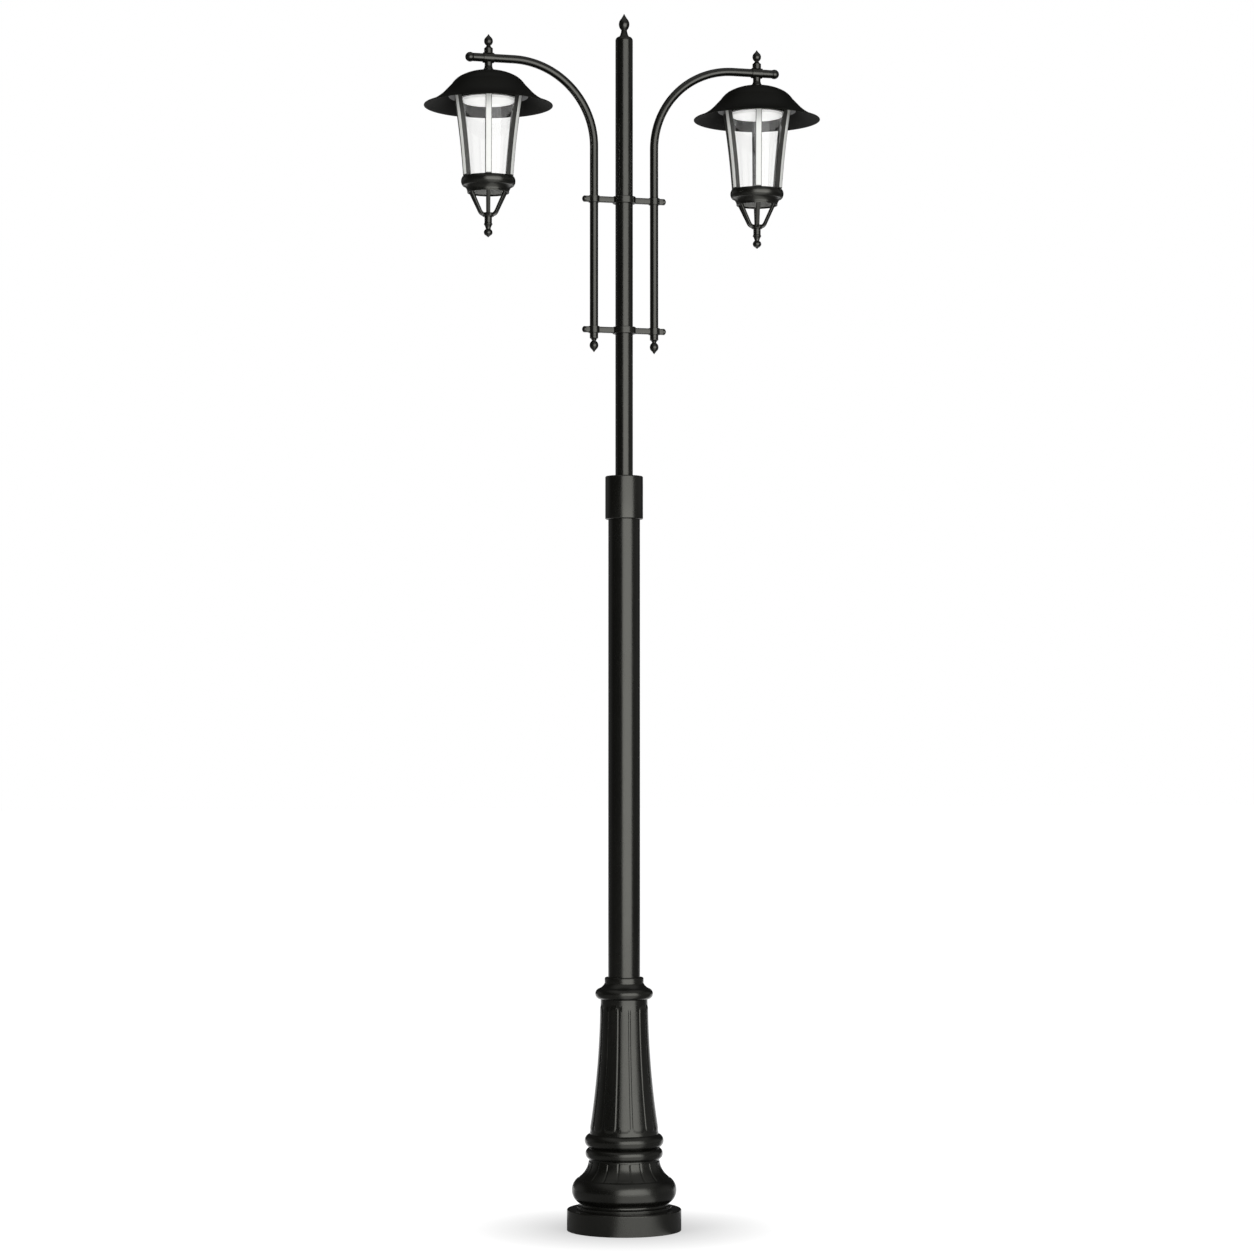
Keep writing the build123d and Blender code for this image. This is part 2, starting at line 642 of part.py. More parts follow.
def arm_ball(side):
    """Ball that closes the arm's outer end, with a small collar behind it."""
    plug = ARM_R - ARM_WALL - SEAT_GAP
    reach = sqrt(ARM_BALL_R**2 - (0.8 * ARM_BALL_R) ** 2)
    ball_at = ARM_COLLAR_T + reach
    shape = turned(
        (0, -SPIGOT_LENGTH), (plug, -SPIGOT_LENGTH), (plug, 0), (ARM_R, 0), (ARM_R, ARM_COLLAR_T),
        (0.8 * ARM_BALL_R, ARM_COLLAR_T), ((ARM_BALL_R, ball_at), (0, ball_at + ARM_BALL_R)),
    )
    return Pos(side * ARM_END_X, 0, ARM_Z) * Rot(0, side * 90, 0) * shape


def bracket(height):
    """Cross bar with a band round the mast, an eye round each arm and threaded ends."""
    bar = Pos(0, 0, height) * Box(2 * BRACKET_END, BRACKET_BAR_D, BRACKET_BAR_H)
    bar = fillet(bar.edges().filter_by(Axis.X), BRACKET_EDGE)
    low = height - BRACKET_BAND_H / 2
    high = height + BRACKET_BAND_H / 2
    eyes = [Pos(side * ARM_X, 0, 0) * rod(BRACKET_EYE_R, low, high) for side in (-1, 1)]
    body = bar.fuse(rod(BRACKET_BAND_R, low, high), *eyes)
    cuts = [rod(MAST_R + SEAT_GAP, low - 1, high + 1)]
    for side in (-1, 1):
        cuts.append(Pos(side * ARM_X, 0, 0) * rod(ARM_R + SEAT_GAP, low - 1, high + 1))
        cuts.append(spoke(KNOB_SHANK_R + SEAT_GAP, ARM_X, BRACKET_END + 1, height, 90 - side * 90))
    return body.cut(*cuts)


def bracket_knobs():
    """Domed clamp screws in the four bracket ends, each bearing on an arm."""
    tip = ARM_X + ARM_R + SEAT_GAP
    rim = KNOB_LENGTH / 2
    knob = turned((0, tip), (KNOB_SHANK_R, tip), (KNOB_SHANK_R, BRACKET_END), (KNOB_R, BRACKET_END),
                  (KNOB_R, BRACKET_END + rim), dome(KNOB_R, BRACKET_END + rim, BRACKET_END + KNOB_LENGTH))
    knobs = []
    for height in (LOWER_BRACKET_Z, UPPER_BRACKET_Z):
        for side in (-1, 1):
            knobs.append(Pos(0, 0, height) * Rot(0, side * 90, 0) * knob)
    return group(knobs)


def hanger(side):
    """Cross fitting on the arm: a sleeve along it, a boss above and a stem below, bored for the rod."""
    stem = rod(HANGER_STEM_R, STEM_END_Z, ARM_Z)
    boss = rod(HANGER_TOP_R, ARM_Z, ARM_Z + HANGER_TOP_RISE)
    sleeve = Pos(0, 0, ARM_Z) * Rot(0, 90, 0) * Cylinder(HANGER_SLEEVE_R, HANGER_SLEEVE_L)
    bore = Pos(0, 0, ARM_Z) * Rot(0, 90, 0) * Cylinder(ARM_R + SEAT_GAP, HANGER_SLEEVE_L + 2)
    rod_bore = rod(ROD_R + SEAT_GAP, STEM_END_Z - 1, ARM_Z + HANGER_TOP_RISE + 1)
    return Pos(side * LANTERN_X, 0, 0) * stem.fuse(boss, sleeve).cut(bore, rod_bore)


def nut_top():
    """Height of the hanging nut's upper face, under the shade's apex."""
    return ARM_Z - APEX_DROP - SHADE_WALL - RUN_GAP


def hanging_rod(side):
    """Hollow threaded rod that hangs the lantern, and the nut on its lower end."""
    low = nut_top() - ROD_NUT_T - 3
    high = ARM_Z + HANGER_TOP_RISE - FINIAL_SPIGOT - 1
    bar = rod(ROD_R, low, high, 0.6 * ROD_R)
    nut = hex_nut(ROD_NUT_R, ROD_NUT_T, ROD_R + SEAT_GAP, nut_top() - ROD_NUT_T)
    return Pos(side * LANTERN_X, 0, 0) * group([bar, nut])


def hanger_finial(side):
    """Finial screwed into the top of the hanger."""
    base = ARM_Z + HANGER_TOP_RISE
    shape = turned(
        (0, base - FINIAL_SPIGOT), (FINIAL_SPIGOT_R, base - FINIAL_SPIGOT), (FINIAL_SPIGOT_R, base),
        (HANGER_TOP_R, base),
        *spear(HANGER_TOP_R, base, SMALL_FINIAL_NECK_R, SMALL_FINIAL_NECK, SMALL_FINIAL_BULGE_R,
               SMALL_FINIAL_BULGE, SMALL_FINIAL_TIP),
    )
    return Pos(side * LANTERN_X, 0, 0) * shape


def shade_side(lower):
    """Points of the shade's outer side from its apex to its rim, moved down by a distance."""
    places = (
        (CAP_R, APEX_DROP), (DOME_CROWN_R, DOME_CROWN_DROP), (DOME_R, DOME_DROP), (SHOULDER_R, SHOULDER_DROP),
        (BRIM_ROOT_R, BRIM_ROOT_DROP), (BRIM_MID_R, BRIM_MID_DROP), (RIM_R, RIM_DROP),
    )
    return [(r, ARM_Z - drop - lower) for r, drop in places]


def shade():
    """Spun shade: domed crown, straight shoulder and flared brim, of one thin wall."""
    bore = ROD_R + RUN_GAP
    out = shade_side(0)
    inner = shade_side(SHADE_WALL)
    slant = SHADE_WALL * 0.7
    inside = [(r - slant if 0 < i < 5 else r, z) for i, (r, z) in enumerate(inner)]
    return turned(
        (bore, inner[0][1]), (bore, out[0][1]), out[0], (out[1], out[2]), out[3], out[4], (out[5], out[6]),
        inside[6], (inside[5], inside[4]), inside[3], inside[2], (inside[1], inside[0]),
    )


def shade_cap():
    """Flared cap between the hanger's stem and the shade, bored for the rod."""
    bore = ROD_R + RUN_GAP
    low = ARM_Z - APEX_DROP
    high = STEM_END_Z - RUN_GAP
    rim = low + CAP_RIM
    waist = HANGER_STEM_R
    return turned((bore, low), (CAP_R, low), (CAP_R, rim),
                  ((0.3 * CAP_R + 0.7 * waist, rim + 0.4 * (high - rim)), (waist, high)), (bore, high))


def post_top():
    """Height where the light unit's posts meet the inside of the shade."""
    share = (POST_PITCH_R + POST_R - DOME_CROWN_R) / (DOME_R - DOME_CROWN_R)
    return ARM_Z - SHADE_WALL - DOME_CROWN_DROP - share * (DOME_DROP - DOME_CROWN_DROP) - SEAT_GAP


def heat_sink():
    """Cast plate that carries the light unit, with posts up to the shade."""
    plate = rod(PLATE_R, PLATE_Z, PLATE_Z + PLATE_T)
    post = Pos(POST_PITCH_R, 0, 0) * rod(POST_R, PLATE_Z, post_top())
    body = plate.fuse(*around(post, POST_COUNT, 90))
    return body.cut(*around(cage_screw_hole(), CAGE_SCREWS, 45))


def cage_screw_hole():
    """Hole for a screw down through the plate into the top ring."""
    place = Pos(middle(TOP_RING_R, TOP_RING_BORE_R), 0, 0)
    return place * rod(CAGE_SCREW_R + SEAT_GAP, PLATE_Z - CAGE_SCREW_LENGTH, PLATE_Z + PLATE_T + 1)


def cage_screws():
    """Screws that hold the top ring under the plate."""
    top = PLATE_Z + PLATE_T
    screw = rod(CAGE_SCREW_R, top - CAGE_SCREW_LENGTH, top) + rod(CAGE_SCREW_HEAD_R, top, top + CAGE_SCREW_HEAD_H)
    return group(around(Pos(middle(TOP_RING_R, TOP_RING_BORE_R), 0, 0) * screw, CAGE_SCREWS, 45))


def led_board():
    """Round light board under the plate."""
    return rod(BOARD_R, PLATE_Z - BOARD_T, PLATE_Z)


def driver():
    """Driver box on the plate, inside the dome."""
    box = Pos(0, 0, PLATE_Z + PLATE_T + DRIVER_H / 2) * Box(DRIVER_L, DRIVER_W, DRIVER_H)
    return fillet(box.edges().filter_by(Axis.Z), DRIVER_EDGE)


def diffuser():
    """Opal cup under the light board, inside the glass's mouth."""
    outer = GLASS_TOP_R - GLASS_WALL - DIFFUSER_GAP
    low = PLATE_Z - DIFFUSER_DEPTH
    floor = low + DIFFUSER_WALL
    wall = outer - DIFFUSER_WALL
    return turned((0, low), (outer, low), (outer, PLATE_Z), (wall, PLATE_Z), (wall, floor), (0, floor))


def gasket():
    """Soft ring between the plate and the glass."""
    return rod(GLASS_TOP_R, PLATE_Z - GASKET_T, PLATE_Z, GLASS_TOP_R - GLASS_WALL)


def top_ring():
    """Ring under the plate that carries the ribs outside and the glass inside."""
    mid_z = middle(TOP_RING_Z, PLATE_Z)
    mid_r = radius_at(rib_side(RIB_T), mid_z) - SEAT_GAP
    ring = turned((TOP_RING_BORE_R, TOP_RING_Z), (TOP_RING_LOW_R, TOP_RING_Z), ((mid_r, mid_z), (TOP_RING_R, PLATE_Z)),
                  (TOP_RING_BORE_R, PLATE_Z))
    return ring.cut(*around(cage_screw_hole(), CAGE_SCREWS, 45))


def rib_slice(depth, width):
    """Flat bar between the rib's outer side and a line a distance inside it."""
    low, mid, top = rib_side(0)
    in_low, in_mid, in_top = rib_side(depth)
    return extrude(outline(low, (mid, top), in_top, (in_mid, in_low)), width / 2, both=True)


def strip_span(gap):
    """Slab of the heights that the strips take up, less a gap at each end."""
    return rod(BIG, LOWER_RING_Z + STRIP_END + gap, PLATE_Z - STRIP_END - gap)


def cage_ribs():
    """Bars that curve out from the lower ring to the top ring, each with a groove down its outer face."""
    bar = rib_slice(RIB_T, RIB_W) - (rib_slice(STRIP_T, STRIP_W) & strip_span(0))
    return group(around(bar, RIBS, -90))


def rib_strips():
    """Pale strips that fill the ribs' grooves."""
    strip = rib_slice(STRIP_T, STRIP_W - 2 * SEAT_GAP) & strip_span(SEAT_GAP)
    return group(around(strip, RIBS, -90))


def glass():
    """Clear tapered chimney inside the ribs, seated in the lower ring and under the gasket."""
    low = LOWER_RING_Z - GLASS_SEAT
    top = PLATE_Z - GASKET_T
    mid_r, mid_z = rib_side(RIB_T)[1]
    mid_r -= GLASS_WALL / 2
    return turned(
        (GLASS_BOTTOM_R - GLASS_WALL, low), (GLASS_BOTTOM_R, low), (GLASS_BOTTOM_R, LOWER_RING_Z),
        ((mid_r, mid_z), (GLASS_TOP_R, TOP_RING_Z)), (GLASS_TOP_R, top),
        (GLASS_TOP_R - GLASS_WALL, top), (GLASS_TOP_R - GLASS_WALL, TOP_RING_Z),
        ((mid_r - GLASS_WALL, mid_z), (GLASS_BOTTOM_R - GLASS_WALL, LOWER_RING_Z)),
    )


def lower_ring():
    """Bulged ring that carries the ribs and the glass, with a hollow skirt below."""
    seat = GLASS_BOTTOM_R + SEAT_GAP
    ledge = GLASS_BOTTOM_R - GLASS_WALL - 1
    low = LOWER_RING_Z - LOWER_RING_H
    skirt_in = SKIRT_R - SKIRT_WALL
    skirt_mid = (0.3 * SKIRT_TOP_R + 0.7 * SKIRT_R, middle(SKIRT_Z, low))
    return turned(
        (seat, LOWER_RING_Z), (LOWER_RING_TOP_R, LOWER_RING_Z),
        ((LOWER_RING_BULGE_R, LOWER_RING_Z - 0.55 * LOWER_RING_H), (LOWER_RING_FOOT_R, low)),
        (SKIRT_TOP_R, low), (skirt_mid, (SKIRT_R, SKIRT_Z)), (skirt_in, SKIRT_Z),
        (ledge, low), (ledge, LOWER_RING_Z - GLASS_SEAT), (seat, LOWER_RING_Z - GLASS_SEAT),
    )


def basket():
    """Ring and ribs drawn in to a hub, bored for the drop finial."""
    top = SKIRT_Z
    ring_low = top - BASKET_RING_T
    ring = rod(SKIRT_R, ring_low, top, SKIRT_R - BASKET_RING_WALL)
    knee_z = HUB_Z + BASKET_KNEE_RISE
    thick = BASKET_RIB_T
    hub_top = HUB_Z + HUB_H
    rib = extrude(
        outline((SKIRT_R - 1, ring_low), (BASKET_KNEE_R, knee_z),
                ((0.45 * BASKET_KNEE_R + 0.55 * HUB_R, HUB_Z + 0.25 * BASKET_KNEE_RISE), (HUB_R / 2, HUB_Z)),
                (HUB_R / 2, hub_top), (BASKET_KNEE_R - 0.8 * thick, knee_z + 0.35 * thick),
                (SKIRT_R - 1 - 1.1 * thick, ring_low), (SKIRT_R - 1 - 1.1 * thick, top), (SKIRT_R - 1, top)),
        BASKET_RIB_W / 2, both=True)
    body = ring.fuse(rod(HUB_R, HUB_Z, hub_top), *around(rib, BASKET_RIBS, -90))
    body &= rod(SKIRT_R, HUB_Z, top)
    return body - rod(DROP_SHANK_R + SEAT_GAP, HUB_Z - 1, hub_top + 1)


def drop_finial():
    """Turned drop under the hub: stem, bead, waist and pointed ball, on a threaded shank."""
    bead = HUB_Z - DROP_STEM
    return turned(
        (0, HUB_Z + HUB_H), (DROP_SHANK_R, HUB_Z + HUB_H), (DROP_SHANK_R, HUB_Z), (DROP_STEM_R, HUB_Z),
        (DROP_STEM_R, bead + DROP_BEAD / 2), ((DROP_BEAD_R, bead), (DROP_STEM_R, bead - DROP_BEAD / 2)),
        *spear(DROP_STEM_R, bead, DROP_NECK_R, DROP_NECK, DROP_BULGE_R, DROP_BULGE, DROP_TIP, way=-1),
    )


def post_nodes():
    """The post itself, from the ground up."""
    cover_inner = POLE_R + RUN_GAP
    collar_inner = MAST_R + RUN_GAP
    return {
        "foot_casting": foot_casting(),
        "lower_pole": lower_pole(),
        "hand_hole_door": hand_hole_door(),
        "door_screws": door_screws(),
        "terminal_block": terminal_block(),
        "earth_stud": earth_stud(),
        "reducer_collar": reducer_collar(),
        "collar_screws": grub_screws(COLLAR_SCREW_R, collar_inner, COLLAR_R - 1,
                                     COLLAR_TOP_Z - COLLAR_SCREW_DROP, COLLAR_SCREWS),
        "mast_bush": mast_bush(),
        "base_cover": base_cover(),
        "cover_screws": grub_screws(COVER_SCREW_R, cover_inner, LIP_R - 0.5, cover_screw_z(), COVER_SCREWS),
        "mast": rod(MAST_R, MAST_Z, MAST_TOP_Z, MAST_R - MAST_WALL),
        "mast_finial": mast_finial(),
        "upper_bracket": bracket(UPPER_BRACKET_Z),
        "lower_bracket": bracket(LOWER_BRACKET_Z),
        "bracket_knobs": bracket_knobs(),
    }


def side_nodes(name, side, turn):
    """One arm with its fittings, and the lantern that hangs from it."""
    nodes = {
        "arm": arm(side),
        "arm_foot": arm_foot(side),
        "arm_ball": arm_ball(side),
        "hanger": hanger(side),
        "hanging_rod": hanging_rod(side),
        "hanger_finial": hanger_finial(side),
    }
    lantern = {
        "shade_cap": shade_cap(),
        "shade": shade(),
        "heat_sink": heat_sink(),
        "driver": driver(),
        "led_board": led_board(),
        "diffuser": diffuser(),
        "gasket": gasket(),
        "top_ring": top_ring(),
        "cage_screws": cage_screws(),
        "cage_ribs": cage_ribs(),
        "rib_strips": rib_strips(),
        "glass": glass(),
        "lower_ring": lower_ring(),
        "basket": basket(),
        "drop_finial": drop_finial(),
    }
    place = Pos(side * LANTERN_X, 0, 0) * Rot(0, 0, turn)
    nodes.update({piece: place * shape for piece, shape in lantern.items()})
    return {f"{name}_{piece}": shape for piece, shape in nodes.items()}


nodes = post_nodes()
nodes.update(side_nodes("left", -1, LEFT_TURN))
nodes.update(side_nodes("right", 1, RIGHT_TURN))
os.makedirs("parts", exist_ok=True)
for node, shape in nodes.items():
    export_step(shape, f"parts/{node}.step")
    print(node, len(shape.solids()), round(sum(solid.volume for solid in shape.solids())))
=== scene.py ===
# %% [markdown]
# # A garden lamp post with two hanging lanterns
# This lesson dresses a lamp post whose solids already exist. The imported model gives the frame: where each piece
# sits and which body it moves with. Here each visible piece is worked out again as a fine surface, so that its
# edges are rounded and its highlights run smoothly, and each finish is made from shader nodes.

# %% Load the frame
import json
import math

import bpy
import numpy as np
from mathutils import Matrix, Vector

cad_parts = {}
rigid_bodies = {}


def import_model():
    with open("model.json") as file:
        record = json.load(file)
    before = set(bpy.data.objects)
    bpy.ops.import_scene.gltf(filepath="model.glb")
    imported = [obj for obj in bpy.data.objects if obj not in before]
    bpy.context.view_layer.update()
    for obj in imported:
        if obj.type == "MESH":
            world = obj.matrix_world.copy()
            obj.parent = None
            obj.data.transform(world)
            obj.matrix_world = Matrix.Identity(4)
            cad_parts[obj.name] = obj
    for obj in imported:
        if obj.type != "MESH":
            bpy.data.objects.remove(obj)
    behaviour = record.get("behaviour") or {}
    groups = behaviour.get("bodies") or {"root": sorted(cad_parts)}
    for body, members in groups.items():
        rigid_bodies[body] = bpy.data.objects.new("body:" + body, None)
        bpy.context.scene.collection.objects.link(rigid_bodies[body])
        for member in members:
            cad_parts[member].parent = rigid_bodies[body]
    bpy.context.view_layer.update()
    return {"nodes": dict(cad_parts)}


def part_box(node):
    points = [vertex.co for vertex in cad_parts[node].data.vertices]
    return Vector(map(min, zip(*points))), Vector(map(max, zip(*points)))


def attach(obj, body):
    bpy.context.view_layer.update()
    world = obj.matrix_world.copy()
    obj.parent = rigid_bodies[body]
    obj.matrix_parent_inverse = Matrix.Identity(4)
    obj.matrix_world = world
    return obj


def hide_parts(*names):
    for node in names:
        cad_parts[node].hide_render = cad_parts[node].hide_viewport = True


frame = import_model()

# %% [markdown]
# ## The camera
# The photograph was matched by its straight lines: the pole's edges, the collar and the two lanterns' rims. A long
# lens stands about eight metres away, a little to the left, at chest height, and looks up by two degrees.

# %% Camera
LENS, SENSOR_WIDTH = 95.31, 36.0  # mm
SHIFT_X = 0.0023
CAMERA_AT, FAR_CLIP = (-2.1517, -7.6651, 1.1305), 200.0  # m
LOOK_UP, LOOK_ASIDE = 92.206, -15.68  # degrees


def added(name, data):
    """New object in the scene."""
    thing = bpy.data.objects.new(name, data)
    bpy.context.scene.collection.objects.link(thing)
    return thing


camera_data = bpy.data.cameras.new("photo_camera")
camera_data.lens = LENS
camera_data.sensor_width = SENSOR_WIDTH
camera_data.shift_x = SHIFT_X
camera_data.clip_end = FAR_CLIP
camera = added("photo_camera", camera_data)
camera.location = CAMERA_AT
camera.rotation_euler = (math.radians(LOOK_UP), 0.0, math.radians(LOOK_ASIDE))
bpy.context.scene.camera = camera
print("camera at", tuple(round(v, 3) for v in camera.location))

# %% [markdown]
# ## Curves and grids
# Almost every piece of a lamp post is turned on a lathe, cast round an axis or bent from a bar. So three kinds of
# helper are enough: points along an arc, a profile turned about an upright axis, and a section carried along a path.
# They work on whole arrays. Lengths are in millimetres, and they become metres when the mesh is made.

# %% Points along arcs and runs
FULL_TURN = 2 * math.pi
SAME_PLACE = 1e-4  # mm
FINE_COPY = 600  # points


def arc(start, via, end, count):
    """Points at even angles on the circle through three points: its centre is equally far from all three."""
    (ax, ay), (bx, by), (cx, cy) = start, via, end
    twice = 2 * (ax * (by - cy) + bx * (cy - ay) + cx * (ay - by))
    a2, b2, c2 = ax * ax + ay * ay, bx * bx + by * by, cx * cx + cy * cy
    ux = (a2 * (by - cy) + b2 * (cy - ay) + c2 * (ay - by)) / twice
    uy = (a2 * (cx - bx) + b2 * (ax - cx) + c2 * (bx - ax)) / twice
    first, middle, last = (math.atan2(y - uy, x - ux) for x, y in (start, via, end))
    turn = (last - first) % FULL_TURN
    if (middle - first) % FULL_TURN > turn:
        turn -= FULL_TURN
    angle = first + turn * np.linspace(0, 1, count)
    radius = math.hypot(ax - ux, ay - uy)
    return np.stack([ux + radius * np.cos(angle), uy + radius * np.sin(angle)], 1)


def arc_at(start, via, end, heights):
    """Points of an arc through three points at chosen heights, read off a fine copy of it."""
    fine = arc(start, via, end, FINE_COPY)
    order = np.argsort(fine[:, 1])
    return np.stack([np.interp(heights, fine[order, 1], fine[order, 0]), heights], 1)


def quarter(centre_r, centre_z, radius, first, count=6):
    """Quarter of a circle about a point, from a first angle in degrees."""
    angle = np.radians(first + np.linspace(0, 90, count))
    return np.stack([centre_r + radius * np.cos(angle), centre_z + radius * np.sin(angle)], 1)


def flank(radii, low, high, share=0.5):
    """Bottom, middle and top of a curved side as (r, z), with the middle at a share of the height."""
    return tuple(zip(radii, (low, low + share * (high - low), high)))


def moved_in(points, by):
    """The same (r, z) points, nearer to the axis by a distance."""
    return tuple((r - by, z) for r, z in points)


def tube_side(inner, outer, low, high):
    """Profile of a tube or a ring: up the outside and down the inside."""
    return [(inner, low), (outer, low), (outer, high), (inner, high)]


def peg(radius, start, end):
    """Profile of a round peg: out from the axis at its start, then along to its end."""
    return [(0.0, start), (radius, start), (radius, end)]


def chain(*runs):
    """One line through all the runs, without the points that two runs share."""
    line = np.concatenate([np.atleast_2d(np.asarray(run, float)) for run in runs])
    keep = np.r_[True, np.linalg.norm(np.diff(line, axis=0), axis=1) > SAME_PLACE]
    return line[keep]


print("quarter", np.round(quarter(0, 0, 1, 0, 3), 3).tolist())

# %% [markdown]
# No edge of a real casting or turning is sharp. A corner of a profile is replaced by a parabola that starts a
# little before it and ends a little after it. A guard point on each side keeps the flat runs flat when the shading
# is smoothed.

# %% Rounded corners
CORNER_TURN = 25.0  # degrees; a gentler bend is left alone
CORNER_SHARE = 0.22  # of the shorter run beside the corner
CORNER_POINTS = 6
GUARD_REACH = 2.1  # times the corner's own reach
SAME_ROUNDED = 1e-5  # mm
NOT_ZERO = 1e-9


def soften(line, radius, closed):
    """Rounds each corner: (1-s)^2 before + 2s(1-s) corner + s^2 after, for s from 0 to 1, with a guard each side."""
    before, after = np.roll(line, 1, 0), np.roll(line, -1, 0)
    if not closed:
        before[0], after[-1] = line[0], line[-1]
    runs = np.stack([line - before, after - line])
    sizes = np.linalg.norm(runs, axis=2)
    into, out = runs / np.maximum(sizes, NOT_ZERO)[:, :, None]
    sharp = (into * out).sum(1) < math.cos(math.radians(CORNER_TURN))
    reach = np.where(sharp, np.minimum(radius, CORNER_SHARE * sizes.min(0)), 0.0)[:, None]
    share = np.linspace(0, 1, CORNER_POINTS)
    weights = np.stack([(1 - share) ** 2, 2 * share * (1 - share), share**2], 1)
    corners = np.stack([line - into * reach, line, line + out * reach], 1)
    round_part = np.einsum("ks,nsd->nkd", weights, corners)
    first, last = line - into * GUARD_REACH * reach, line + out * GUARD_REACH * reach
    full = np.concatenate([first[:, None], round_part, last[:, None]], 1).reshape(-1, 2)
    full = full[np.r_[True, np.linalg.norm(np.diff(full, axis=0), axis=1) > SAME_ROUNDED]]
    if closed and np.linalg.norm(full[0] - full[-1]) < SAME_ROUNDED:
        full = full[:-1]
    return full


print("a square ring gets", len(soften(np.array(tube_side(1.0, 2.0, 0.0, 1.0)), 0.1, True)), "profile points")

# %% [markdown]
# A turned shell is a grid: one row of points for each point of the profile, one column for each angle. If the
# profile starts and ends on the axis, the ends are single points. Otherwise the profile closes on itself, like a
# ring. The sign of the volume tells whether the faces point outwards, and they are turned over if they don't.

# %% Faces of a grid
NO_TRIS = np.zeros((0, 3), int)
NO_QUADS = np.zeros((0, 4), int)


def outward(shell):
    """The same shell with its faces outwards: the volume, the sum of a . (b x c) over its triangles, is positive."""
    points, quads, tris = shell
    all_tris = np.concatenate([quads[:, [0, 1, 2]], quads[:, [0, 2, 3]], tris])
    a, b, c = (points[all_tris[:, i]] - points.mean(0) for i in range(3))
    volume = np.einsum("ij,ij->i", a, np.cross(b, c)).sum()
    if volume < 0:
        quads, tris = quads[:, ::-1], tris[:, ::-1]
    return points, quads, tris


def grid_faces(rows, columns, wrap_rows):
    """Quads of a grid of points whose columns close on themselves, and whose rows do too if asked."""
    row = np.arange(rows if wrap_rows else rows - 1)[:, None]
    column = np.arange(columns)[None, :]
    next_row, next_column = (row + 1) % rows, (column + 1) % columns
    corners = [row * columns + column, row * columns + next_column,
               next_row * columns + next_column, next_row * columns + column]
    return np.stack(corners, -1).reshape(-1, 4)


def fan(tip, first, columns):
    """Triangles from one point to a row of the grid."""
    column = np.arange(columns)
    return np.stack([np.full(columns, tip), first + column, first + (column + 1) % columns], 1)


def capped(points, ends, rows, columns):
    """Grid of open rows closed by a fan to a point at each end."""
    low = fan(len(points), 0, columns)[:, ::-1]
    high = fan(len(points) + 1, (rows - 1) * columns, columns)
    quads = grid_faces(rows, columns, False)
    return outward((np.concatenate([points, ends]), quads, np.concatenate([low, high])))


print("a grid of 3 by 4 points has", len(grid_faces(3, 4, False)), "quads")

# %% Shells: turned and swept
def turned(profile, columns=64, soft=0.4, relief=None):
    """Surface of revolution: (r cos t, r sin t, z) for each profile point (r, z) and angle t. relief adds to r."""
    line = np.asarray(profile, float)
    closed = line[0, 0] > 0
    if np.any(soft):
        line = soften(line, soft, closed)
    angle = np.arange(columns) * FULL_TURN / columns
    body = line if closed else line[1:-1]
    radius = np.repeat(body[:, :1], columns, 1)
    if relief is not None:
        radius = radius + relief(body[:, :1], body[:, 1:], angle[None, :])
    height = np.repeat(body[:, 1:], columns, 1)
    points = np.stack([radius * np.cos(angle), radius * np.sin(angle), height], -1).reshape(-1, 3)
    if closed:
        return outward((points, grid_faces(len(body), columns, True), NO_TRIS))
    return capped(points, np.array([[0, 0, line[0, 1]], [0, 0, line[-1, 1]]]), len(body), columns)


def swept(section, path, up):
    """Section (u, v) carried along a path in the XZ plane: path + u Y + v up, with its two ends closed by fans."""
    across = np.array([0.0, 1.0, 0.0])
    points = path[:, None] + section[None, :, :1] * across + section[None, :, 1:] * up[:, None]
    ends = np.stack([points[0].mean(0), points[-1].mean(0)])
    return capped(points.reshape(-1, 3), ends, len(path), len(section))


def round_rectangle(width, depth, corner, count=6):
    """Rounded rectangle: four quarter circles, one in each corner, in order."""
    x, y = width / 2 - corner, depth / 2 - corner
    middles = (x, y), (-x, y), (-x, -y), (x, -y)
    return np.concatenate([quarter(*middle, corner, 90 * k, count) for k, middle in enumerate(middles)])


print("a rounded bar has", len(round_rectangle(2, 2, 0.5)), "points round it")

# %% Join and place shells
def joined(*shells):
    """Several shells as one, with the point numbers of each moved on."""
    starts = np.cumsum([0, *(len(shell[0]) for shell in shells)])
    moved = [(points, quads + start, tris + start) for (points, quads, tris), start in zip(shells, starts)]
    return tuple(np.concatenate(part) for part in zip(*moved))


def placed(shell, turn=0.0, move=(0, 0, 0), lie=None):
    """The shell turned about Z by degrees, then moved. lie first lays the Z axis along +X or -X."""
    points = shell[0]
    if lie:
        points = np.stack([lie * points[:, 2], points[:, 1], -lie * points[:, 0]], 1)
    c, s = math.cos(math.radians(turn)), math.sin(math.radians(turn))
    points = points @ np.array([[c, s, 0], [-s, c, 0], [0, 0, 1]])
    return points + np.asarray(move, float), shell[1], shell[2]


# %% [markdown]
# One more helper puts a shell into a mesh, lets sharp folds stay sharp, gives it its finish, hangs it on the body it
# rides on and hides the solid it stands for. Some of its faces can take a second finish.

# %% Make a piece
METRES = 0.001  # in a millimetre
SHARP_FOLD = 38.0  # degrees


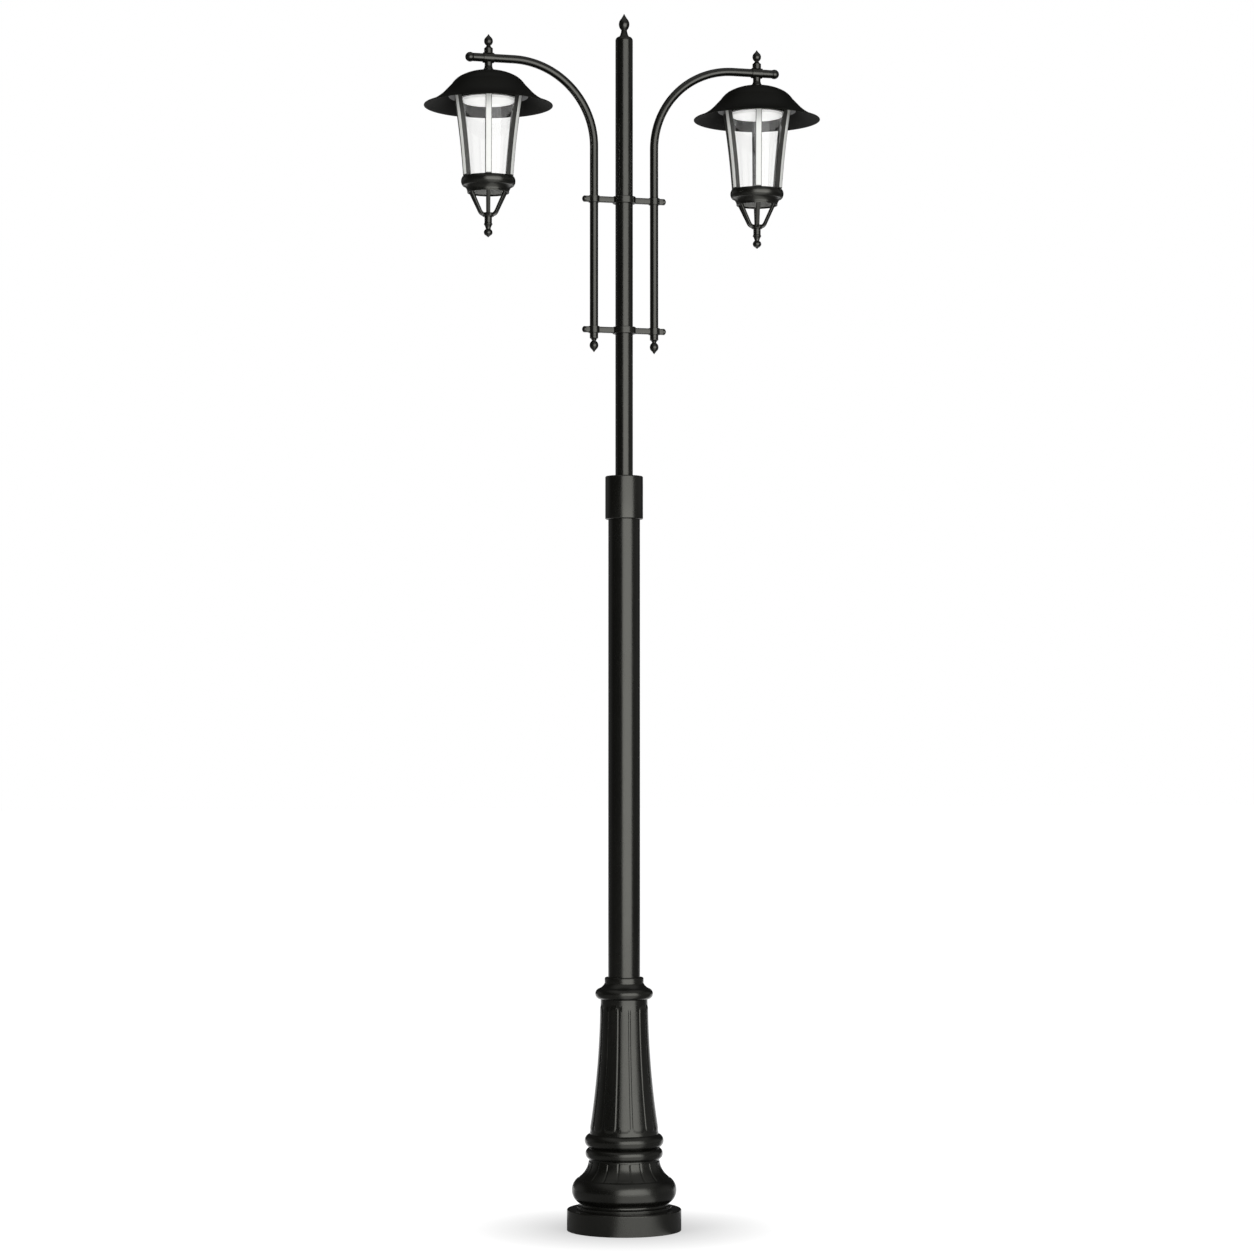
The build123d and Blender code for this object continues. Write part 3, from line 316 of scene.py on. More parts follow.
def make_piece(name, shell, finish, node, slot=None, second=None, where=None):
    """Mesh object of a shell in metres, standing for a CAD node and riding on that node's body, in its finish.
    slot is not used. The quads that where marks take the second finish."""
    points, quads, tris = shell
    mesh = bpy.data.meshes.new(name)
    mesh.from_pydata((points * METRES).tolist(), [], quads.tolist() + tris.tolist())
    mesh.polygons.foreach_set("use_smooth", np.ones(len(mesh.polygons), bool))
    mesh.set_sharp_from_angle(angle=math.radians(SHARP_FOLD))
    mesh.materials.append(materials[finish])
    if second:
        mesh.materials.append(materials[second])
        mesh.polygons.foreach_set("material_index", where(points, quads).astype(np.int32))
    mesh.update()
    piece = added(name, mesh)
    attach(piece, frame["nodes"][node].parent.name.split(":")[1])
    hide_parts(node)
    return piece


# %% [markdown]
# ## Finishes
# The post is powder coated in satin black. Powder melts into a skin that is almost flat but never quite: fine
# orange peel breaks up the highlight, and the gloss drifts a little from place to place. Castings carry a coarser
# version of the same coat. Noise on Object coordinates gives both, at a scale of millimetres.

# %% Node helpers
def wired(tree, kind, result, inputs, **settings):
    """Output of a new shader node. An input is linked if it is another node's output, and otherwise set."""
    node = tree.nodes.new(f"ShaderNode{kind}")
    for name, value in settings.items():
        setattr(node, name, value)
    for socket, value in inputs.items():
        if isinstance(value, bpy.types.NodeSocket):
            tree.links.new(value, node.inputs[socket])
        else:
            node.inputs[socket].default_value = value
    return node.outputs[result]


def noise(tree, place, scale, detail):
    """Noise of a scale and detail at a place."""
    return wired(tree, "TexNoise", "Fac", {"Vector": place, "Scale": scale, "Detail": detail})


def ramp(tree, value, span, ends, kind="SMOOTHSTEP"):
    """Goes from the first of two ends to the second while the value crosses the span."""
    limits = dict(zip(("From Min", "From Max", "To Min", "To Max"), (*span, *ends)))
    return wired(tree, "MapRange", "Result", {"Value": value, **limits}, interpolation_type=kind)


# %% Finish helper
PATCH_DETAIL, GRAIN_DETAIL = 4.0, 3.0
PATCH_SPAN = (0.3, 0.7)  # of the noise, over which the gloss drifts
PEEL_DEPTH = 0.0004  # m


def make_finish(name, dark, light, patch, rough, grain, bump, sockets):
    """Principled finish: patch noise mixes two colours and two gloss levels, grain noise raises a small bump."""
    material = bpy.data.materials.new(name)
    material.use_nodes = True
    tree = material.node_tree
    shader = tree.nodes["Principled BSDF"]
    place = tree.nodes.new("ShaderNodeTexCoord").outputs["Object"]
    drift = noise(tree, place, patch, PATCH_DETAIL)
    colour = wired(tree, "Mix", "Result", {"A": (*dark, 1.0), "B": (*light, 1.0), "Factor": drift}, data_type="RGBA")
    gloss = ramp(tree, drift, PATCH_SPAN, rough, "LINEAR")
    peel = noise(tree, place, grain, GRAIN_DETAIL)
    normal = wired(tree, "Bump", "Normal", {"Strength": bump, "Distance": PEEL_DEPTH, "Height": peel})
    for socket, value in (("Base Color", colour), ("Roughness", gloss), ("Normal", normal)):
        tree.links.new(value, shader.inputs[socket])
    for socket, value in sockets.items():
        shader.inputs[socket].default_value = value
    return material


# %% [markdown]
# Each finish is one row: its slot in the record, a dark and a light colour, the scale of the patches, the range of
# roughness, the scale of the grain, the strength of its bump, and the sockets that it sets besides.

# %% Table of finishes
SHEEN = {"Specular Tint": (1.0, 1.0, 0.92, 1.0)}
COAT = {"Specular IOR Level": 0.62, **SHEEN}
METAL = {"Metallic": 1.0}
BLACK, SOFT_BLACK, SHADE_LIGHT = (0.002, 0.002, 0.0016), (0.003, 0.003, 0.0025), (0.006, 0.006, 0.005)
FINISHES = {
    "tube_black": ("black_steel", BLACK, (0.004, 0.004, 0.0033), 9, (0.24, 0.29), 700, 0.003, COAT),
    "cast_black": ("black_cast", BLACK, (0.0045, 0.0045, 0.0037), 14, (0.24, 0.3), 420, 0.005, COAT),
    "shade_black": ("black_cast", SOFT_BLACK, SHADE_LIGHT, 12, (0.34, 0.42), 420, 0.012,
                    {"Specular IOR Level": 0.1, **SHEEN}),
    "shade_under": ("black_cast", SOFT_BLACK, SHADE_LIGHT, 12, (0.6, 0.7), 420, 0.012,
                    {"Specular IOR Level": 0.08, **SHEEN}),
    "foot_black": ("black_iron", SOFT_BLACK, (0.005, 0.005, 0.0042), 16, (0.26, 0.33), 300, 0.007, COAT),
    "rib_black": ("black_cast", (0.035, 0.035, 0.032), (0.05, 0.05, 0.046), 14, (0.34, 0.42), 420, 0.05,
                  {"Specular IOR Level": 0.6}),
    "screw_black": ("black_screws", (0.02, 0.02, 0.02), (0.035, 0.035, 0.035), 60, (0.3, 0.45), 900, 0.1, {}),
    "plate_dark": ("black_cast", (0.02, 0.02, 0.02), (0.035, 0.035, 0.034), 50, (0.4, 0.55), 400, 0.05, {}),
    "zinc": ("zinc_steel", (0.5, 0.5, 0.5), (0.66, 0.66, 0.65), 90, (0.3, 0.45), 900, 0.1, METAL),
    "brass": ("brass_fitting", (0.62, 0.45, 0.18), (0.74, 0.57, 0.28), 80, (0.25, 0.4), 900, 0.08, METAL),
    # painted light: the black ring's bore is coloured light grey for how bright it shows through the glass
    "ring_grey": ("black_cast", (0.27, 0.27, 0.255), (0.33, 0.33, 0.315), 30, (0.5, 0.6), 420, 0.14, {}),
    "grey_plastic": ("grey_plastic", (0.32, 0.32, 0.33), (0.38, 0.38, 0.39), 40, (0.5, 0.6), 600, 0.12, {}),
    "white_plastic": ("white_plastic", (0.8, 0.8, 0.78), (0.88, 0.88, 0.86), 40, (0.4, 0.5), 600, 0.1, {}),
    "gasket_grey": ("grey_rubber", (0.26, 0.26, 0.26), (0.33, 0.33, 0.33), 60, (0.6, 0.7), 500, 0.14, {}),
    # painted highlight: the pale colour of the rib strips stands for the bright line down each rib
    "strip_pale": ("pale_strip", (0.72, 0.73, 0.7), (0.8, 0.81, 0.78), 40, (0.35, 0.45), 500, 0.06, {}),
    "opal": ("opal_diffuser", (0.9, 0.9, 0.89), (0.96, 0.96, 0.95), 25, (0.3, 0.38), 300, 0.03,
             {"Emission Color": (1.0, 1.0, 0.99, 1.0), "Emission Strength": 0.5}),
    "clear_glass": ("clear_glass", (0.985, 0.985, 0.98), (0.995, 0.995, 0.99), 12, (0.01, 0.03), 30, 0.01,
                    {"Transmission Weight": 1.0, "IOR": 1.45}),
}
materials = {name: make_finish(name, *look[1:]) for name, look in FINISHES.items()}
print(len(materials), "finishes")

# %% [markdown]
# ## The foot and the hidden fittings
# The foot, the hand-hole door, the screws and the parts inside the lanterns keep the shapes of their solids. A
# solid's mesh is loose triangles, so its curves would look faceted. A copy is merged instead: points that are equal
# to a hundredth of a millimetre become one, and then round sides can be shaded smoothly.

# %% Merge copies of the solids that keep their shape
SAME_POINT_DIGITS = 2  # of a millimetre
SIDES = {"left": -1, "right": 1}
POST_FITTINGS = {
    "foot_casting": "foot_black", "hand_hole_door": "tube_black", "door_screws": "zinc",
    "terminal_block": "white_plastic", "earth_stud": "brass", "collar_screws": "screw_black",
    "mast_bush": "grey_plastic", "cover_screws": "screw_black",
}
LANTERN_FITTINGS = {
    "hanging_rod": "zinc", "heat_sink": "plate_dark", "driver": "grey_plastic", "led_board": "white_plastic",
    "gasket": "gasket_grey", "cage_screws": "zinc",
}


def read(items, field, count, kind):
    """One field of all items of a mesh as a flat array, with count values for each."""
    values = np.empty(count * len(items), kind)
    items.foreach_get(field, values)
    return values


def merged(node):
    """A solid's triangles with each point kept once, and without triangles that shrank to a line."""
    source = frame["nodes"][node].data
    points = read(source.vertices, "co", 3, np.float32).reshape(-1, 3).astype(float) / METRES
    corners = read(source.polygons, "vertices", 3, np.int32)
    rough = np.round(points, SAME_POINT_DIGITS)
    _, first, place = np.unique(rough, axis=0, return_index=True, return_inverse=True)
    tris = place.reshape(-1)[corners].reshape(-1, 3)
    whole = (tris[:, 0] != tris[:, 1]) & (tris[:, 1] != tris[:, 2]) & (tris[:, 2] != tris[:, 0])
    return points[first], NO_QUADS, tris[whole]


fittings = dict(POST_FITTINGS)
for side_name in SIDES:
    fittings.update({f"{side_name}_{node}": finish for node, finish in LANTERN_FITTINGS.items()})
dressed = {}
for node, finish in fittings.items():
    dressed[node] = make_piece(f"{node}_dressed", merged(node), finish, node)

# %% [markdown]
# Heights and reaches that the solids already have are read off their boxes, to a tenth of a millimetre. What a box
# can't tell, such as a wall or a bead, is a named size beside the piece it belongs to.
#
# The foot's wall is one true cylinder, so its shading can be exact too: at every corner of the wall the normal is
# set straight out from the axis. Corners that get no normal keep their own.

# %% Sizes from the solids
SEAT_GAP = 0.2  # round a piece that is fixed in another
RUN_GAP = 0.3  # round a piece that moves in another


def levels(node):
    """Bottom and top of a solid, in millimetres."""
    low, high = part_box(node)
    return round(low.z / METRES, 1), round(high.z / METRES, 1)


def reach(node):
    """Furthest place of a solid along +X, in millimetres."""
    return round(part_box(node)[1].x / METRES, 1)


FOOT_R, POLE_R, MAST_R, COLLAR_R = (reach(n) for n in ("foot_casting", "lower_pole", "mast", "reducer_collar"))
print("radii of foot, pole, mast and collar", FOOT_R, POLE_R, MAST_R, COLLAR_R)

# %% Exact normals for the foot's wall
ON_THE_WALL = 0.00005  # m


def round_wall(piece, radius):
    """Normal at each corner of the wall's triangles: the point's own direction from the axis, level."""
    mesh = piece.data
    corners = read(mesh.loops, "vertex_index", 1, np.int32)
    level = read(mesh.vertices, "co", 3, np.float32).reshape(-1, 3)[corners, :2]
    away = np.linalg.norm(level, axis=1)
    wall = (np.abs(away - radius) < ON_THE_WALL).reshape(-1, 3).all(1).repeat(3)
    normals = np.zeros((len(corners), 3))
    normals[wall, :2] = level[wall] / away[wall, None]
    mesh.normals_split_custom_set(normals.tolist())
    return int(wall.sum())


print("wall corners", round_wall(dressed["foot_casting"], FOOT_R * METRES))

# %% [markdown]
# ## The base cover
# This is the ornamental casting at the post's foot, and the hardest piece. Its side is one turned profile: a band,
# a cove, a fat torus, a hollow bell, two rings, a flaring column, a crown and a lip. The mouldings are stacked by
# their rises from the seat up, and the last three by their drops from the top.

# %% Base cover sizes
COVER_LOW, COVER_TOP = levels("base_cover")
RISES = (7.0, 7.0, 57.0, 47.0, 28.0, 32.0)  # band, cove, torus, bell, lower ring, upper ring
DROPS = (14.3, 13.1, 25.0)  # lip, flare, crown
BAND_Z, COVE_Z, TORUS_Z, BELL_Z, LOWER_RING_Z, UPPER_RING_Z = COVER_LOW + np.cumsum(RISES)
FLARE_Z, CROWN_Z, COLUMN_Z = COVER_TOP - np.cumsum(DROPS)
COVER_WALL, CEILING_T = 6.0, 12.0
BAND_R, COVE_R, TORUS_R = 113.0, 106.0, 124.6
COVE_MID_R, COVE_MID_RISE = 107.5, 2.5
LOWER_RING_R, GROOVE_R, UPPER_RING_R = 92.2, 81.7, 94.0
CROWN_R, FLARE_R, FLARE_MID_R, FLARE_MID_SHARE = 68.9, 61.4, 51.6, 0.45
LIP_R, LIP_EDGE = 46.4, 3.5
bell = flank((113.0, 91.4, 83.0), TORUS_Z, BELL_Z, 0.42)
column = flank((82.2, 60.2, 55.9), UPPER_RING_Z, COLUMN_Z, 0.61)
print("column from", column[0], "to", column[2])

# %% Base cover profile
COVER_SOFT = 0.6
BELL_CROWD, COLUMN_CROWD = 0.75, 0.86


def spread(low, high, count, crowd):
    """Heights between two levels, crowded towards both: an even run bent by a sine."""
    even = np.linspace(0, 1, count)
    return low + (high - low) * (even - crowd * np.sin(FULL_TURN * even) / FULL_TURN)


cover_outside = chain(
    [(COVE_R - COVER_WALL, COVER_LOW), (BAND_R, COVER_LOW)],
    arc((BAND_R, BAND_Z), (COVE_MID_R, BAND_Z + COVE_MID_RISE), (COVE_R, COVE_Z), 6),
    arc(*flank((COVE_R, TORUS_R, bell[0][0]), COVE_Z, TORUS_Z), 20),
    arc_at(*bell, spread(TORUS_Z, BELL_Z, 24, BELL_CROWD)),
    arc(*flank((bell[2][0], LOWER_RING_R, GROOVE_R), BELL_Z, LOWER_RING_Z), 12),
    arc(*flank((GROOVE_R, UPPER_RING_R, column[0][0]), LOWER_RING_Z, UPPER_RING_Z), 13),
    arc_at(*column, spread(UPPER_RING_Z, COLUMN_Z, 50, COLUMN_CROWD)),
    arc(*flank((column[2][0], CROWN_R, FLARE_R), COLUMN_Z, CROWN_Z), 12),
    arc(*flank((FLARE_R, FLARE_MID_R, LIP_R), CROWN_Z, FLARE_Z, FLARE_MID_SHARE), 8),
    quarter(LIP_R - LIP_EDGE, COVER_TOP - LIP_EDGE, LIP_EDGE, 0),
)
column_inside, bell_inside = moved_in(column, COVER_WALL)[::-1], moved_in(bell, COVER_WALL)[::-1]
cover_inside = chain(
    [(POLE_R + RUN_GAP, COVER_TOP), (POLE_R + RUN_GAP, CROWN_Z), (column_inside[0][0], CROWN_Z - CEILING_T)],
    arc(*column_inside, 8),
    [(GROOVE_R - COVER_WALL, LOWER_RING_Z)],
    arc(*bell_inside, 6),
    [(COVE_R - COVER_WALL, COVE_Z)],
)
cover_side = np.concatenate([cover_outside, cover_inside])
cover_soft = np.repeat([COVER_SOFT, 0.0], [len(cover_outside), len(cover_inside)])
print("cover profile", len(cover_side), "points")

# %% [markdown]
# On the bell stand twenty small panels and on the column fourteen tall ones with round corners. A panel is a
# rounded rectangle in the unrolled side: the distance to its edge gives a soft step, and the step is added to the
# radius. 420 columns share out evenly over both counts, so all panels of a row come out alike.

# %% Panels and base cover
COVER_COLUMNS = 420
COLUMN_PANELS = {"count": 14, "share": 0.82, "corner": 9.0, "low": UPPER_RING_Z + 11.0, "high": COLUMN_Z - 17.0,
                 "proud": 1.2, "edge": 1.7, "first": -2.8}
BELL_PANELS = {"count": 20, "share": 0.9, "corner": 1.6, "low": TORUS_Z + 3.5, "high": BELL_Z - 3.5,
               "proud": 1.2, "edge": 1.6, "first": 2.3}


def panel_step(radius, height, angle, count, share, corner, low, high, proud, edge, first):
    """proud times a smooth step of the distance inside a rounded rectangle, in millimetres along the side."""
    pitch = FULL_TURN / count
    off = (angle - math.radians(first) + pitch / 2) % pitch - pitch / 2
    across = np.abs(off) * radius - (share * pitch / 2 * radius - corner)
    along = np.abs(height - (low + high) / 2) - ((high - low) / 2 - corner)
    outside = np.hypot(np.maximum(across, 0), np.maximum(along, 0))
    distance = outside + np.minimum(np.maximum(across, along), 0) - corner
    step = np.clip(0.5 - distance / edge, 0, 1)
    return proud * step * step * (3 - 2 * step)


def cover_relief(radius, height, angle):
    """Bell panels and column panels on the outer side, and nothing on the inner one."""
    panels = panel_step(radius, height, angle, **COLUMN_PANELS) + panel_step(radius, height, angle, **BELL_PANELS)
    outer = radius > np.interp(height, cover_outside[:, 1], cover_outside[:, 0]) - COVER_WALL / 2
    return np.where(outer, panels, 0.0)


cover_shell = turned(cover_side, COVER_COLUMNS, cover_soft, cover_relief)
make_piece("base_cover_casting", cover_shell, "cast_black", "base_cover")

# %% [markdown]
# ## Pole, collar and mast
# Three plain turned pieces. The pole and the mast are tubes, so each profile goes up the outside and down the
# inside. The collar that joins them has its edges broken by three millimetres, which is what catches the light.

# %% Tubes and collar
TUBE_WALL = 3.0
COLLAR_EDGE = 3.0
POLE_LOW, POLE_TOP = levels("lower_pole")
MAST_LOW, MAST_TOP = levels("mast")
COLLAR_LOW, COLLAR_TOP = levels("reducer_collar")
pole_side = tube_side(POLE_R - TUBE_WALL, POLE_R, POLE_LOW, POLE_TOP)
make_piece("lower_pole_tube", turned(pole_side, columns=160, soft=0.6), "tube_black", "lower_pole")
mast_side = tube_side(MAST_R - TUBE_WALL, MAST_R, MAST_LOW, MAST_TOP)
make_piece("mast_tube", turned(mast_side, columns=128, soft=0.5), "tube_black", "mast")
socket_r, bore_r, edge_r = POLE_R + SEAT_GAP, MAST_R + RUN_GAP, COLLAR_R - COLLAR_EDGE
collar_side = chain(
    [(socket_r, COLLAR_LOW)],
    quarter(edge_r, COLLAR_LOW + COLLAR_EDGE, COLLAR_EDGE, -90),
    quarter(edge_r, COLLAR_TOP - COLLAR_EDGE, COLLAR_EDGE, 0),
    [(bore_r, COLLAR_TOP), (bore_r, POLE_TOP), (socket_r, POLE_TOP)],
)
make_piece("reducer_collar_turning", turned(collar_side, columns=160, soft=0.5), "cast_black", "reducer_collar")

# %% [markdown]
# ## Finials
# The same turned figure ends the mast, the hangers, the arms' feet and the lanterns: a waist, a round bulge and a
# point. One function gives its profile upwards or downwards from a level, so the family looks like one hand's work.

# %% Finial figure
WAIST_PULL, WAIST_SHARE = 0.65, 0.45  # towards the neck's radius, and of the neck's height
SHOULDER_R_SHARE, SHOULDER_SHARE = 0.72, 0.45  # of the bulge's radius, and of the way from bulge to tip
HOLLOW_R_SHARE, HOLLOW_SHARE = 0.44, 0.52  # of the shoulder's radius, and of the way to the tip
BLUNT_R, BLUNT_CUT = 0.9, 0.6
SMALL_SPEAR = (4.8, 6.5, 10.5, 18.0, 34.0)  # neck's radius and height, bulge's radius and height, tip's height
MAST_SPEAR = (6.9, 16.5, 12.8, 30.0, 56.0)
DROP_SPEAR = (5.8, 9.5, 10.0, 19.5, 29.0)


def spear(base, level, neck_r, neck, bulge_r, bulge, tip, way=1):
    """Waist arc from the base to the neck, bulge arc past the widest place, then a slightly hollow point."""
    after = bulge + SHOULDER_SHARE * (tip - bulge)
    shoulder = SHOULDER_R_SHARE * bulge_r
    waist = (base, 0.0), (base + WAIST_PULL * (neck_r - base), WAIST_SHARE * neck), (neck_r, neck)
    ball = (neck_r, neck), (bulge_r, bulge), (shoulder, after)
    hollow = (HOLLOW_R_SHARE * shoulder, after + HOLLOW_SHARE * (tip - after))
    point = (shoulder, after), hollow, (BLUNT_R, tip - BLUNT_CUT)
    line = chain(arc(*waist, 10), arc(*ball, 20), arc(*point, 8), [(0.0, tip)])
    return line * (1, way) + (0, level)


# %% Mast finial
CAP_BASE_R, CAP_RISE, CAP_SHARE = 11.8, 9.0, 0.7
cap_mid_r = MAST_R + (1 - CAP_SHARE) * (CAP_BASE_R - MAST_R)
mast_top = chain(
    peg(MAST_R - TUBE_WALL - SEAT_GAP, levels("mast_finial")[0], MAST_TOP),
    arc(*flank((MAST_R, cap_mid_r, CAP_BASE_R), MAST_TOP, MAST_TOP + CAP_RISE, CAP_SHARE), 10),
    spear(CAP_BASE_R, MAST_TOP + CAP_RISE, *MAST_SPEAR),
)
make_piece("mast_finial_turning", turned(mast_top, columns=96), "cast_black", "mast_finial")

# %% [markdown]
# ## Brackets
# Two cross bars tie the arms to the mast. Each is a rounded bar with a band round the mast, an eye round each arm
# and a domed clamp screw in each end. The bar is a rounded rectangle carried along X, cut into stretches so that
# it stops inside the band and the eyes.

# %% Brackets
ARM_X, ARM_R = 75.2, 10.0
BAR_DEPTH, BAR_HEIGHT, BAR_EDGE = 13.0, 14.0, 2.5
MAST_BAND_R, BAND_LAP = 28.0, 3.5
EYE_R, EYE_LAP = 13.6, 2.4
BRACKET_END = reach("upper_bracket")
bar_section = round_rectangle(BAR_DEPTH, BAR_HEIGHT, BAR_EDGE)


def bar_run(start, end, height):
    """Rounded rectangle carried along X from one place to another."""
    path = np.array([[start, 0.0, height], [end, 0.0, height]])
    return swept(bar_section, path, np.tile([0.0, 0.0, 1.0], (2, 1)))


def bracket_shell(low, high):
    """Band and eyes turned about the mast and the arms, with bar runs between them and out to the ends."""
    height = (low + high) / 2
    parts = [turned(tube_side(MAST_R + SEAT_GAP, MAST_BAND_R, low, high), columns=96, soft=1.2)]
    eye = turned(tube_side(ARM_R + SEAT_GAP, EYE_R, low, high), soft=0.9)
    inner_run = (MAST_BAND_R - BAND_LAP, ARM_X - EYE_R + EYE_LAP)
    outer_run = (ARM_X + EYE_R - EYE_LAP, BRACKET_END)
    for way in SIDES.values():
        parts.append(placed(eye, move=(way * ARM_X, 0, 0)))
        parts += [bar_run(way * start, way * end, height) for start, end in (inner_run, outer_run)]
    return joined(*parts)


for bracket_name in ("upper_bracket", "lower_bracket"):
    make_piece(f"{bracket_name}_casting", bracket_shell(*levels(bracket_name)), "cast_black", bracket_name)

# %% Clamp knobs
KNOB_R, SHANK_R = 7.6, 4.0
KNOB_END = reach("bracket_knobs")
KNOB_RIM = (BRACKET_END + KNOB_END) / 2
DOME_MID_R, DOME_MID_DROP = 4.31, 1.28
knob_side = chain(
    peg(SHANK_R, ARM_X + ARM_R + SEAT_GAP, BRACKET_END),
    [(KNOB_R, BRACKET_END)],
    arc((KNOB_R, KNOB_RIM), (DOME_MID_R, KNOB_END - DOME_MID_DROP), (0.0, KNOB_END), 10),
)
knob_shell = turned(knob_side, columns=48, soft=0.5)
bracket_heights = [sum(levels(name)) / 2 for name in ("lower_bracket", "upper_bracket")]
knobs = [placed(knob_shell, move=(0, 0, z), lie=way) for z in bracket_heights for way in SIDES.values()]
make_piece("bracket_clamp_knobs", joined(*knobs), "cast_black", "bracket_knobs", slot="black_screws")

# %% [markdown]
# ## Arms
# Each arm is a tube bent once. A circle is carried along a line, a quarter arc and another line. The path lies in
# a plane, so its side direction is always Y, and the up direction is the path's own normal.

# %% Arm tubes
ARM_FOOT_Z, arm_top = levels("left_arm")
ARM_Z = arm_top - ARM_R
ARM_END_X = reach("right_arm")
BEND_R, BEND_ROWS = 200.0, 40
ARM_MIDWAY_Z = 2360.0
ARM_COLUMNS = 64


def arm_shell(way):
    """Circle carried up, round the bend and out, with the normal turned a quarter from the path."""
    bend = np.linspace(0, math.pi / 2, BEND_ROWS)
    x = np.r_[ARM_X, ARM_X, ARM_X + BEND_R * (1 - np.cos(bend)), ARM_END_X]
    z = np.r_[ARM_FOOT_Z, ARM_MIDWAY_Z, ARM_Z - BEND_R + BEND_R * np.sin(bend), ARM_Z]
    turn = np.r_[0, 0, bend, math.pi / 2]
    path = np.stack([way * x, np.zeros_like(x), z], 1)
    up = np.stack([way * np.cos(turn), np.zeros_like(turn), -np.sin(turn)], 1)
    angle = np.linspace(0, FULL_TURN, ARM_COLUMNS, endpoint=False)
    return swept(ARM_R * np.stack([np.cos(angle), np.sin(angle)], 1), path, up)


def make_pair(name, node, finish, shell_at):
    """The left and the right one of a piece that the mast carries: shell_at gives the shell of side -1 or 1."""
    for side_name, way in SIDES.items():
        make_piece(f"{side_name}_{name}", shell_at(way), finish, f"{side_name}_{node}")


make_pair("arm_tube", "arm", "tube_black", arm_shell)

# %% Arm feet and balls
SPIGOT_R, SPIGOT_LENGTH = 7.3, 22.0
FOOT_BEAD = 5.0
BALL_R, BALL_SEAT_SHARE, BALL_COLLAR = 11.6, 0.8, 3.0
foot_side = chain(
    peg(SPIGOT_R, ARM_FOOT_Z + SPIGOT_LENGTH, ARM_FOOT_Z),
    [(ARM_R, ARM_FOOT_Z)],
    spear(ARM_R, ARM_FOOT_Z - FOOT_BEAD, *SMALL_SPEAR, way=-1),
)
seat_r = BALL_SEAT_SHARE * BALL_R
ball_at = BALL_COLLAR + math.sqrt(BALL_R**2 - seat_r**2)
ball_side = chain(
    peg(SPIGOT_R, -SPIGOT_LENGTH, 0.0),
    [(ARM_R, 0.0), (ARM_R, BALL_COLLAR)],
    arc((seat_r, BALL_COLLAR), (BALL_R, ball_at), (0.0, ball_at + BALL_R), 28),
)
foot_shell = turned(foot_side)
ball_shell = turned(ball_side, soft=0.3)
make_pair("arm_foot_turning", "arm_foot", "cast_black", lambda way: placed(foot_shell, move=(way * ARM_X, 0, 0)))
make_pair("arm_ball_turning", "arm_ball", "cast_black",
          lambda way: placed(ball_shell, move=(way * ARM_END_X, 0, ARM_Z), lie=way))

# %% [markdown]
# ## Hangers
# A cross fitting grips each arm: a short sleeve along the arm, a boss above it and a stem below. Three turned
# rings that meet inside each other make it. A finial closes its top.

# %% Hangers and their finials
HANGER_LOW, HANGER_TOP = levels("left_hanger")
SLEEVE_R, SLEEVE_HALF, SLEEVE_LAP = 12.4, 13.0, 10.4
BOSS_R, STEM_R, STEM_TOP_R = 10.4, 9.0, 9.4
ROD_R, PEG_R = 5.0, 4.6
LANTERN_X = reach("right_hanger") - SLEEVE_HALF
rod_bore = ROD_R + SEAT_GAP
sleeve = turned(tube_side(ARM_R + SEAT_GAP, SLEEVE_R, -SLEEVE_HALF, SLEEVE_HALF), soft=1.0)
boss = turned(tube_side(rod_bore, BOSS_R, ARM_Z + SLEEVE_LAP, HANGER_TOP), soft=0.6)
stem_top = ARM_Z - SLEEVE_LAP
stem_side = [(rod_bore, HANGER_LOW), (STEM_R, HANGER_LOW), (STEM_TOP_R, stem_top), (rod_bore, stem_top)]
hanger = joined(placed(sleeve, move=(0, 0, ARM_Z), lie=1), boss, turned(stem_side, soft=0.5))
hanger_peg = peg(PEG_R, levels("left_hanger_finial")[0], HANGER_TOP)
hanger_top = chain(hanger_peg, spear(BOSS_R, HANGER_TOP, *SMALL_SPEAR))
hanger_finial = turned(hanger_top)
make_pair("hanger_casting", "hanger", "cast_black", lambda way: placed(hanger, move=(way * LANTERN_X, 0, 0)))
make_pair("hanger_finial_turning", "hanger_finial", "cast_black",
          lambda way: placed(hanger_finial, move=(way * LANTERN_X, 0, 0)))

# %% [markdown]
# ## Lanterns
# The two lanterns are alike, but each is turned a little differently on its rod, as in the photograph. So every
# lantern piece is made once about its own axis and then placed twice.

# %% Place a lantern piece on both sides
TURNS = {"left": -12.7, "right": -14.5}  # degrees


def make_hung(name, shell, finish, node, **rest):
    """The same shell under both arms, each turned as the photograph shows."""
    for side_name, way in SIDES.items():
        hung = placed(shell, TURNS[side_name], (way * LANTERN_X, 0, 0))
        make_piece(f"{side_name}_{name}", hung, finish, f"{side_name}_{node}", **rest)


# %% [markdown]
# ### Shade and cap
# The shade is spun from one sheet: a low crown, a straight shoulder and a brim that sweeps out to a rolled rim.
# The profile goes out along the top, round the rim and back along the underside. Each arc is given by three places,
# as radius and drop below the shade's top.

# %% Shade
SHADE_TOP = levels("left_shade")[1]
SHADE_WALL = 2.0
SHADE_ARCS = {
    "crown": (((13.8, 0.0), (40.0, 3.5), (70.6, 16.0)), 18),
    "shoulder": (((70.6, 16.0), (80.5, 24.2), (88.4, 34.0)), 10),
    "brim": (((107.4, 54.0), (128.0, 70.0), (152.4, 81.6)), 22),
    "rolled rim": (((152.4, 81.6), (154.0, 82.8), (152.9, 84.1)), 6),
    "under the brim": (((151.6, 84.0), (128.0, 72.1), (106.0, 56.0)), 16),
    "under the shoulder": (((87.0, 36.0), (79.2, 26.3), (69.2, 18.0)), 8),
    "under the crown": (((69.2, 18.0), (38.6, 5.5), (13.8, 2.0)), 14),
}
DOWNWARD = -0.1  # upward part of a unit normal


